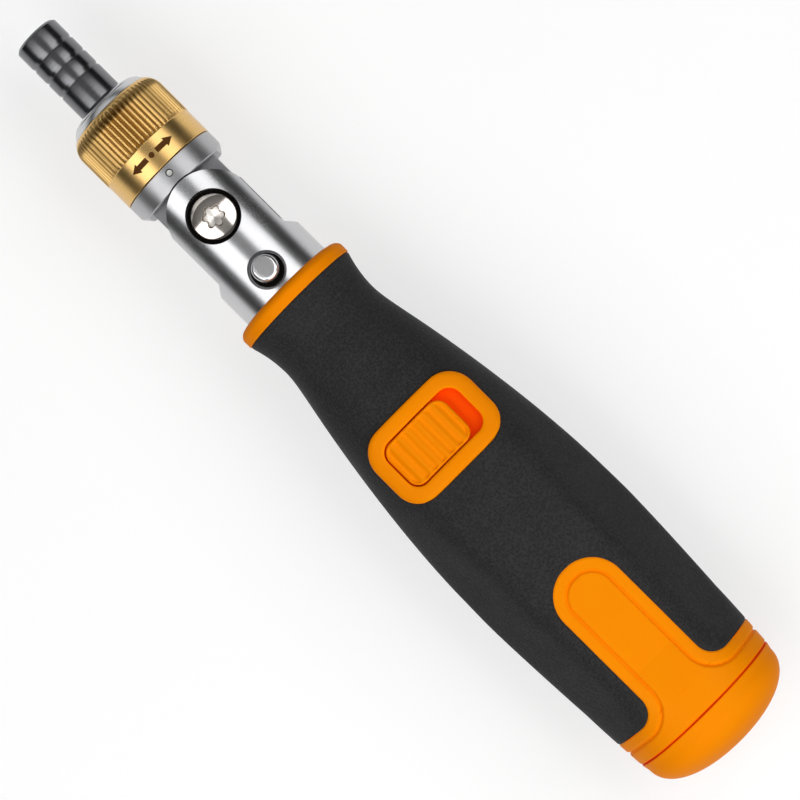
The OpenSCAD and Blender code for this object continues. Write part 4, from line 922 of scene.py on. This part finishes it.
def towards_outline(dx, dy, hx, hy, corner):
    """Point where the ray (dx, dy) leaves a rounded rectangle, found by halving an interval."""
    low, high = np.zeros_like(dx), np.full_like(dx, 3.0)
    for _ in range(50):
        middle = (low + high) / 2
        inside = rounded_distance(dx * middle, dy * middle, hx, hy, corner) < 0
        low, high = np.where(inside, middle, low), np.where(inside, high, middle)
    return dx * low, dy * low


def switch_opening(rows, angles, tube):
    """Which quads of the tube stay, and rings that change from the window to the bezel's outline."""
    i0, i1 = np.searchsorted(rows, [switch_x - window_reach, switch_x + window_reach])
    j0, j1 = np.searchsorted(angles, [-window_angle, window_angle])
    keep = np.ones((len(rows) - 1, len(angles)), bool)
    keep[i0:i1, j0:j1] = False
    rim_i = np.r_[np.full(j1 - j0, i0), np.arange(i0, i1), np.full(j1 - j0, i1), np.arange(i1, i0, -1)]
    rim_j = np.r_[np.arange(j0, j1), np.full(i1 - i0, j1), np.arange(j1, j0, -1), np.full(i1 - i0, j0)]
    rim_x, rim_a = rows[rim_i], angles[rim_j]
    ray = rim_x - switch_x, tube[rim_i, rim_j, 1]
    out_x, out_y = towards_outline(*ray, bezel_hx, bezel_hy, bezel_corner)
    out_x = out_x + switch_x
    out_a = plan_angle(out_x, out_y)
    t = np.r_[0, 0.02, 0.05, np.linspace(0.1, 1, 12)][:, None]
    rings = on_skin(out_x + (rim_x - out_x) * t, out_a + (rim_a - out_a) * t, 0.2 * (1 - ease(t / 0.05)))
    return keep, rings


keep, rings = switch_opening(grip_rows, grip_angles, grip_tube)
grip_patches = [(grip_tube, True, keep), (rings, True), (grip_back(), False)]
grip = add_piece("soft_grip", grip_patches, "handle", "black_grip", ["grip"], shell=True)
wall = grip.modifiers.new("wall", "SOLIDIFY")
wall.thickness, wall.offset = grip_wall * MM, -1.0

# %% [markdown]
# ## The orange core
# The core carries the tongue and the band, and inside it the bore of the magazine. The skin that
# shows is dense enough to hold the fine line; the rest is a turned shell under the grip. Light
# that bounces in the narrow seam before the tail cap makes its lips redder, which is an overlay in
# the outermost millimetre.

# %% Core with tongue and band
shank_r, spring_r, carrier_r, spigot_r = 7.5, 10.0, 12.1, 13.4
spring_x, carrier_x, spigot_x = 101.15, 113.55, 178.25
seam_red = (1.0, 0.085, 0.0)
tongue_share = np.linspace(-1, 1, 121)


def tongue_grid():
    """Skin of the tongue between its borders with the line pressed in, and the angle at its end."""
    front_rows = tongue_x + np.array([0, 0.05, 0.12, 0.22, 0.35])
    rows = np.r_[front_rows, np.linspace(tongue_x + 0.5, band_x, 230)]
    half = plan_angle(rows, border_half(rows))[:, None]
    x, a = np.broadcast_arrays(rows[:, None], half * tongue_share)
    d = orange_distance(x, on_skin(x, a)[..., 1])
    return on_skin(x, a, seam_dip(d) + line_dip(d)), float(half[-1, 0])


def band_grid(step):
    """Skin of the band all round, with the columns of the tongue where the two meet."""
    around = np.r_[step * tongue_share, np.linspace(step, 2 * np.pi - step, 300)[1:-1]]
    rows = np.r_[np.linspace(band_x, seam_x - 0.4, 44), seam_x - np.array([0.25, 0.12, 0.0])]
    x, a = np.meshgrid(rows, around, indexing="ij")
    d = np.where(np.cos(a) > 0, orange_distance(x, on_skin(x, a)[..., 1]), x - band_x)
    return on_skin(x, a, seam_dip(d) + line_dip(d) + seam_dip(x - seam_x, 0.4, 0.22))


def core_patches():
    """Tongue with its edges carried inwards, band, and the turned shell and bore of the hidden part."""
    tongue, step = tongue_grid()
    edges = (tongue[0], tongue[:, 0], tongue[:, -1])
    feet = [np.stack([edge, edge * np.array([1, 0.86, 0.86])]) for edge in edges]
    shell = [(grip_x, shank_r), (grip_x, flare_r - 2.0), (81.5, 9.9), (100, 12.2), (120, 14.2), (145, 15.2)]
    shell += [(band_x, 14.6), (band_x, 16.9)]
    bore = [(seam_x, 16.83), (seam_x, spigot_r), (spigot_x, spigot_r), (spigot_x, carrier_r)]
    bore += [(carrier_x, carrier_r), (carrier_x, spring_r), (spring_x, spring_r), (spring_x, shank_r)]
    hidden = [filleted(shell, [0, 0.2, 2, 2, 2, 2, 0, 0]), filleted([*bore, (grip_x, shank_r)], 0.1, 4)]
    open_grids = [(grid, False) for grid in (tongue, *feet)]
    return open_grids + [(band_grid(step), True)] + [(turned(line), True) for line in hidden]


def lip_orange(name, start, end):
    """Orange that turns red from start to end along the tool, but only in the outermost millimetre."""
    finish = plastic(name, **ORANGE)
    skin = off_axis(finish, tail_r - 1.2, tail_r - 0.9)
    overlay(finish, calc(finish.node_tree, "MULTIPLY", skin, along_tool(finish, start, end)), seam_red)
    return finish


core_orange = lip_orange("core_orange", seam_x - 0.3, seam_x - 0.1)
add_piece("core", core_patches(), "handle", "orange_plastic", ["handle_core"], core_orange)

# %% [markdown]
# ## The collar
# An orange collar covers the front of the handle. It is turned, with a broad soft bevel.

# %% Collar
collar_bore, collar_r = 10.55, 13.45
collar_corners = [(69.75, collar_bore), (69.8, 11.0), (70.2, 12.6), (71.1, collar_r)]
collar_corners += [(grip_x, collar_r - 0.03), (grip_x, collar_bore)]
collar_outline = filleted(collar_corners, [0.1, 0.3, 0.5, 0.6, 0.2, 0.1], 8, True)
add_piece("collar", [(turned(collar_outline), True)], "handle", "orange_plastic", ["front_collar"])

# %% [markdown]
# ## The tail cap
# The cap is turned too: half of a superellipse, a rounder-shouldered curve than an ellipse, in which
# x and r are powers of sine and cosine. Inside it are a plug that enters the core, and the boss of
# the stud that carries the magazine.

# %% Tail cap
tail_end, dome_x, dome_base, hollow_r, hollow_len = 194.35, seam_x + 1.8, 16.7, 14.3, 5.85
plug_x, plug_r, plug_bore = 182.25, 13.3, 11.4
boss_x, boss_r, stud_r, stud_end = 184.5, 4.6, 2.2, 190.9


def cap_dome(r, length, power=2 / 2.2, steps=40):
    """Superellipse of power 2.2: x = dome_x + length sin^(2/2.2), radius = r cos^(2/2.2)."""
    t = np.linspace(0, np.pi / 2, steps)
    return np.stack([dome_x + length * np.sin(t) ** power, r * np.maximum(np.cos(t), 0) ** power], -1)


def tail_patches():
    """Outer dome with a softened edge at the seam, and a plug with a hollow and the boss of the stud."""
    front, face_r = seam_x + 0.1, 14.0
    edge = [(front, face_r), (front, tail_r - 0.2), (front + 0.25, tail_r - 0.03), (dome_x, dome_base)]
    outer = [filleted(edge, [0, 0.12, 0.2, 0.2]), cap_dome(dome_base, tail_end - dome_x)[1:]]
    plug = [(front, face_r), (front, plug_r), (plug_x, plug_r), (plug_x, plug_bore), (185.0, plug_bore)]
    boss = [(stud_end - 0.4, boss_r), (boss_x, boss_r), (boss_x, stud_r), (stud_end, stud_r), (stud_end, 0)]
    inner = [filleted(plug, [0, 0.05, 0.2, 0.2, 0]), cap_dome(hollow_r, hollow_len)[6:-12], boss]
    return [(turned(np.vstack(line)), True) for line in (outer, inner)]


tail_orange = lip_orange("tail_orange", seam_x + 0.4, seam_x + 0.2)
add_piece("tail_dome", tail_patches(), "magazine", "orange_plastic", ["tail_cap"], tail_orange)

# %% [markdown]
# ## The switch frame
# The frame has a crowned top and is tilted to lie on the front flat. Its section is carried round
# a rounded rectangle whose half sizes and corner radius shrink together from the outside to the
# window. The walls of the window are painted redder, as in the seam: painted light that bounces
# between them.

# %% Switch frame
flat_at = flat_r(switch_x + bezel_hx * np.array([-1, 0, 1]), front_flat_x)
switch_slope, switch_z = math.atan((flat_at[2] - flat_at[0]) / (2 * bezel_hx)), float(flat_at[1])
crown_r, bezel_rise, window_depth = 26.0, 0.7, 2.6
along_width, across_width, corner_loss = 3.1, 3.15, 2.8
slot_y, slot_hx, slot_hy, slot_depth = 3.6, 2.5, 2.65, 1.2


def at_switch(p):
    """Tilts local points by the slope of the flat and moves them to the switch."""
    c, s = math.cos(switch_slope), math.sin(switch_slope)
    x, y, z = np.moveaxis(p, -1, 0)
    return np.stack([switch_x + x * c - z * s, y, switch_z + x * s + z * c], -1)


def crown(y, rise):
    """Height of a cylinder of the crown's radius whose top is at rise."""
    return rise + np.sqrt(crown_r**2 - y**2) - crown_r


def rounded_loop(hx, hy, corner, arc=14, straight=12):
    """Closed loops round rectangles with rounded corners: one row for each half size and corner."""
    hx, hy, corner = (np.asarray(v, float)[:, None] for v in (hx, hy, corner))
    turn = np.linspace(0, np.pi / 2, arc)
    arcs = []
    for k, (sx, sy) in enumerate([(1, 1), (-1, 1), (-1, -1), (1, -1)]):
        a = turn + k * np.pi / 2
        x, y = sx * (hx - corner) + corner * np.cos(a), sy * (hy - corner) + corner * np.sin(a)
        arcs.append(np.stack([x, y], -1))
    t = np.linspace(0, 1, straight + 2)[1:-1][:, None]
    links = [arcs[k][:, -1:] * (1 - t) + arcs[(k + 1) % 4][:, :1] * t for k in range(4)]
    return np.concatenate([part for pair in zip(arcs, links) for part in pair], 1)


def bezel_patches():
    """Frame section carried round the outline, window walls, and a floor with the slot for the hook."""
    share, drop = filleted([(0, 3.2), (0, 0), (1, 0), (1, 2.9)], [0, 0.62, 0.4, 0], 8).T
    sizes = ((bezel_hx, along_width), (bezel_hy, across_width), (bezel_corner, corner_loss))
    loops = rounded_loop(*(outside - width * share for outside, width in sizes))
    at_floor = ((share > 0.999) & (drop > 2.5))[:, None]
    z = np.where(at_floor, -window_depth, crown(loops[..., 1], bezel_rise) - drop[:, None])
    section = np.concatenate([loops, z[..., None]], -1)
    rim, centre = section[-1], np.array([0, slot_y, -window_depth])
    ray = rim - centre
    across = np.maximum(np.abs(ray[:, :2]), 1e-6)
    slot = centre + ray * (np.array([slot_hx, slot_hy]) / across).min(1)[:, None]
    floor = np.stack([rim, (rim + slot) / 2, slot, slot - np.array([0, 0, slot_depth])])
    return [(at_switch(section), True), (at_switch(floor), True)]


def window_orange():
    """Orange that turns red in the window: where the height over the flat plus y squared over twice
    the crown's radius, which is the same all over the frame's top, has dropped by 0.4 to 0.9 mm."""
    finish = plastic("window_orange", **ORANGE)
    tree, _, place = parts_of(finish)
    side = axes(tree, place)
    lean = (-math.sin(switch_slope), 0, math.cos(switch_slope))
    top = bezel_rise + lean[0] * switch_x + lean[2] * switch_z
    over = put(tree, "ShaderNodeVectorMath", {0: place, 1: lean}, operation="DOT_PRODUCT")
    square = calc(tree, "POWER", side["Y"], 2.0)
    level = calc(tree, "MULTIPLY_ADD", square, 0.5 / (crown_r * MM), over.outputs["Value"])
    mask = remap(tree, level, (top - 0.4) * MM, (top - 0.9) * MM)
    window_hx, window_hy = bezel_hx - along_width + 0.1, bezel_hy - across_width + 0.1
    for axis, middle, half in (("X", switch_x, window_hx), ("Y", 0.0, window_hy)):
        mask = calc(tree, "MULTIPLY", mask, calc(tree, "COMPARE", side[axis], middle * MM, half * MM))
    # Painted light: the red of light that bounces between the window's walls.
    overlay(finish, mask, seam_red)
    return finish


add_piece("switch_frame", bezel_patches(), "handle", "orange_plastic", ["switch_bezel"], window_orange())

# %% [markdown]
# ## The slider
# The slider is a slab whose top is a crown with seven soft ribs. One cosine makes the ribs, and
# the distance to the outline fades them out and rounds the edge. Below it a forked hook reaches
# through the slot to the wire of the latch.

# %% Slider
slider_hx, slider_hy, slider_y, slider_corner, slider_rise = 5.1, 7.8, -1.5, 2.5, 0.45
rib_count, rib_depth, edge_round = 7, 0.24, 0.45
hook_y, hook_half, hook_thick, hook_low = 2.1, 2.2, 1.15, 8.9
prong_y, prong_half, prong_low = 0.9, 0.25, 5.0


def hook_box(y, half, low, high):
    """A closed box of the hook round side distance y: a slab between its two ends along the tool."""
    corners = [switch_x - hook_half, switch_x + hook_half], [y - half, y + half], [low, high]
    return slab_patches(*np.stack(np.meshgrid(*corners, indexing="ij"), -1))


def slider_patches(rows=141, cols=41):
    """Rows across the tool: crown plus a cosine rib, rounded down at the outline, with walls to a flat
    foot and a forked hook. Points crowd towards the outline as the sine of even steps."""
    v, u = (np.sin(np.linspace(-np.pi / 2, np.pi / 2, count)) for count in (rows, cols))
    y = slider_hy * v[:, None]
    over = np.maximum(np.abs(y) - (slider_hy - slider_corner), 0)
    half = slider_hx - slider_corner + np.sqrt(np.maximum(slider_corner**2 - over**2, 0))
    x, y = np.broadcast_arrays(half * u, y)
    inset = -rounded_distance(x, y, slider_hx, slider_hy, slider_corner)
    rib = rib_depth * (np.cos(np.pi * rib_count * (y + slider_hy) / slider_hy) - 1)
    from_edge = 1 - np.clip(inset / edge_round, 0, 1)
    drop = edge_round * (1 - np.sqrt(np.clip(1 - from_edge**2, 0, 1)))
    z = crown(y + slider_y, slider_rise) + rib * ease((inset - 0.25) / 0.5) - drop
    top = np.stack([x, y + slider_y, z], -1)
    foot = np.stack([x, y + slider_y, np.full_like(z, -window_depth + 0.05)], -1)
    hook = hook_box(hook_y, hook_thick, hook_low, switch_z - 2.4)
    for side in (-prong_y, prong_y):
        hook += hook_box(hook_y + side, prong_half, prong_low, hook_low + 0.05)
    return slab_patches(at_switch(top), at_switch(foot)) + hook


add_piece("switch_slider", slider_patches(), "switch", "orange_plastic", ["slide_switch"])

# %% [markdown]
# ## The floor
# The tool lies on a large matt floor. Its colour is a middle grey that catches the shadow, and a
# glow towards the camera and in reflections lifts it to white in an oval pool under the tool.
# The far floor stays dim, which gives the metal its dark bands.

# %% Floor
floor_z, floor_half, pool_x = cad_box[0][2], 1.6, 0.1
pool_scale, pool_start, pool_end = (0.9, 1, 0), 0.10, 0.32
near_grey, far_grey, near_glow, far_glow = (0.46, 0.46, 0.46, 1), (0.40, 0.40, 0.40, 1), 0.58, 0.08


def floor_finish():
    """Matt floor that is palest under the tool, with a glow for camera, glossy and transmission rays."""
    finish, tree, shader, place = start_material("pale_floor")
    spot = put(tree, "ShaderNodeVectorMath", {0: place, 1: (-pool_x, 0, 0)}, operation="ADD").outputs[0]
    reach = scaled_length(tree, spot, pool_scale)
    far = remap(tree, reach, pool_start, pool_end, kind="SMOOTHSTEP")
    tree.links.new(blended(tree, far, near_grey, far_grey), shader.inputs["Base Color"])
    shader.inputs["Roughness"].default_value = 0.9
    shader.inputs["Specular IOR Level"].default_value = 0.1
    path = tree.nodes.new("ShaderNodeLightPath").outputs
    seen = calc(tree, "MAXIMUM", path["Is Camera Ray"], path["Is Glossy Ray"])
    seen = calc(tree, "MAXIMUM", seen, path["Is Transmission Ray"])
    glow = calc(tree, "MULTIPLY", seen, remap(tree, far, 0.0, 1.0, near_glow, far_glow))
    shader.inputs["Emission Color"].default_value = (1, 1, 1, 1)
    tree.links.new(glow, shader.inputs["Emission Strength"])
    return finish


side = np.linspace(-floor_half, floor_half, 3)
fx, fy = np.meshgrid(side + pool_x, side, indexing="ij")
floor_points, floor_quads = joined([(np.stack([fx, fy, np.full_like(fx, floor_z)], -1), False)])
floor_mesh = bpy.data.meshes.new("floor")
floor_mesh.from_pydata(floor_points.tolist(), [], floor_quads[:, ::-1].tolist())
floor_mesh.materials.append(floor_finish())
floor = new_object("floor", floor_mesh)
print("floor at", round(floor_z, 4))

# %% [markdown]
# ## Light
# Two softboxes hang on either side of the camera, a little towards the tail, so that round metal
# shows two white bands with a grey middle. A third one behind the tail lights the dome and the
# edges that face it, and a low weak lamp in front of the tip does the same for the nose. The room
# is dim, a little brighter overhead.

# %% Softboxes and room
def softbox(name, place, size, watts, faces_x):
    """A rectangular lamp that faces a point of the tool's axis."""
    lamp = bpy.data.lights.new(name, "AREA")
    lamp.shape, lamp.size, lamp.size_y, lamp.energy = "RECTANGLE", size[0], size[1], watts
    holder = new_object(name, lamp)
    holder.location = place
    aim_at = Vector((faces_x, 0, 0)) - holder.location
    holder.rotation_euler = aim_at.to_track_quat("-Z", "X").to_euler()


softbox("softbox_left", (0.245, -0.40, 0.55), (0.50, 0.75), 2.45, 0.245)
softbox("softbox_right", (0.245, 0.40, 0.55), (0.46, 0.75), 2.05, 0.245)
softbox("softbox_tail", (0.74, 0.0, 0.42), (0.40, 0.70), 1.6, 0.1)
softbox("softbox_tip", (-0.55, 0.0, 0.21), (0.24, 0.70), 0.4, 0.05)
world = bpy.data.worlds.new("studio")
world.use_nodes = True
bpy.context.scene.world = world
tree, background = world.node_tree, world.node_tree.nodes["Background"]
upward = axes(tree, tree.nodes.new("ShaderNodeTexCoord").outputs["Generated"])["Z"]
background.inputs["Color"].default_value = (1, 1, 1, 1)
tree.links.new(remap(tree, upward, 0.4, 1.0, 0.02, 0.30), background.inputs["Strength"])
bpy.context.scene.view_settings.view_transform = "Standard"
print("lamps:", [lamp.name for lamp in bpy.data.lights])
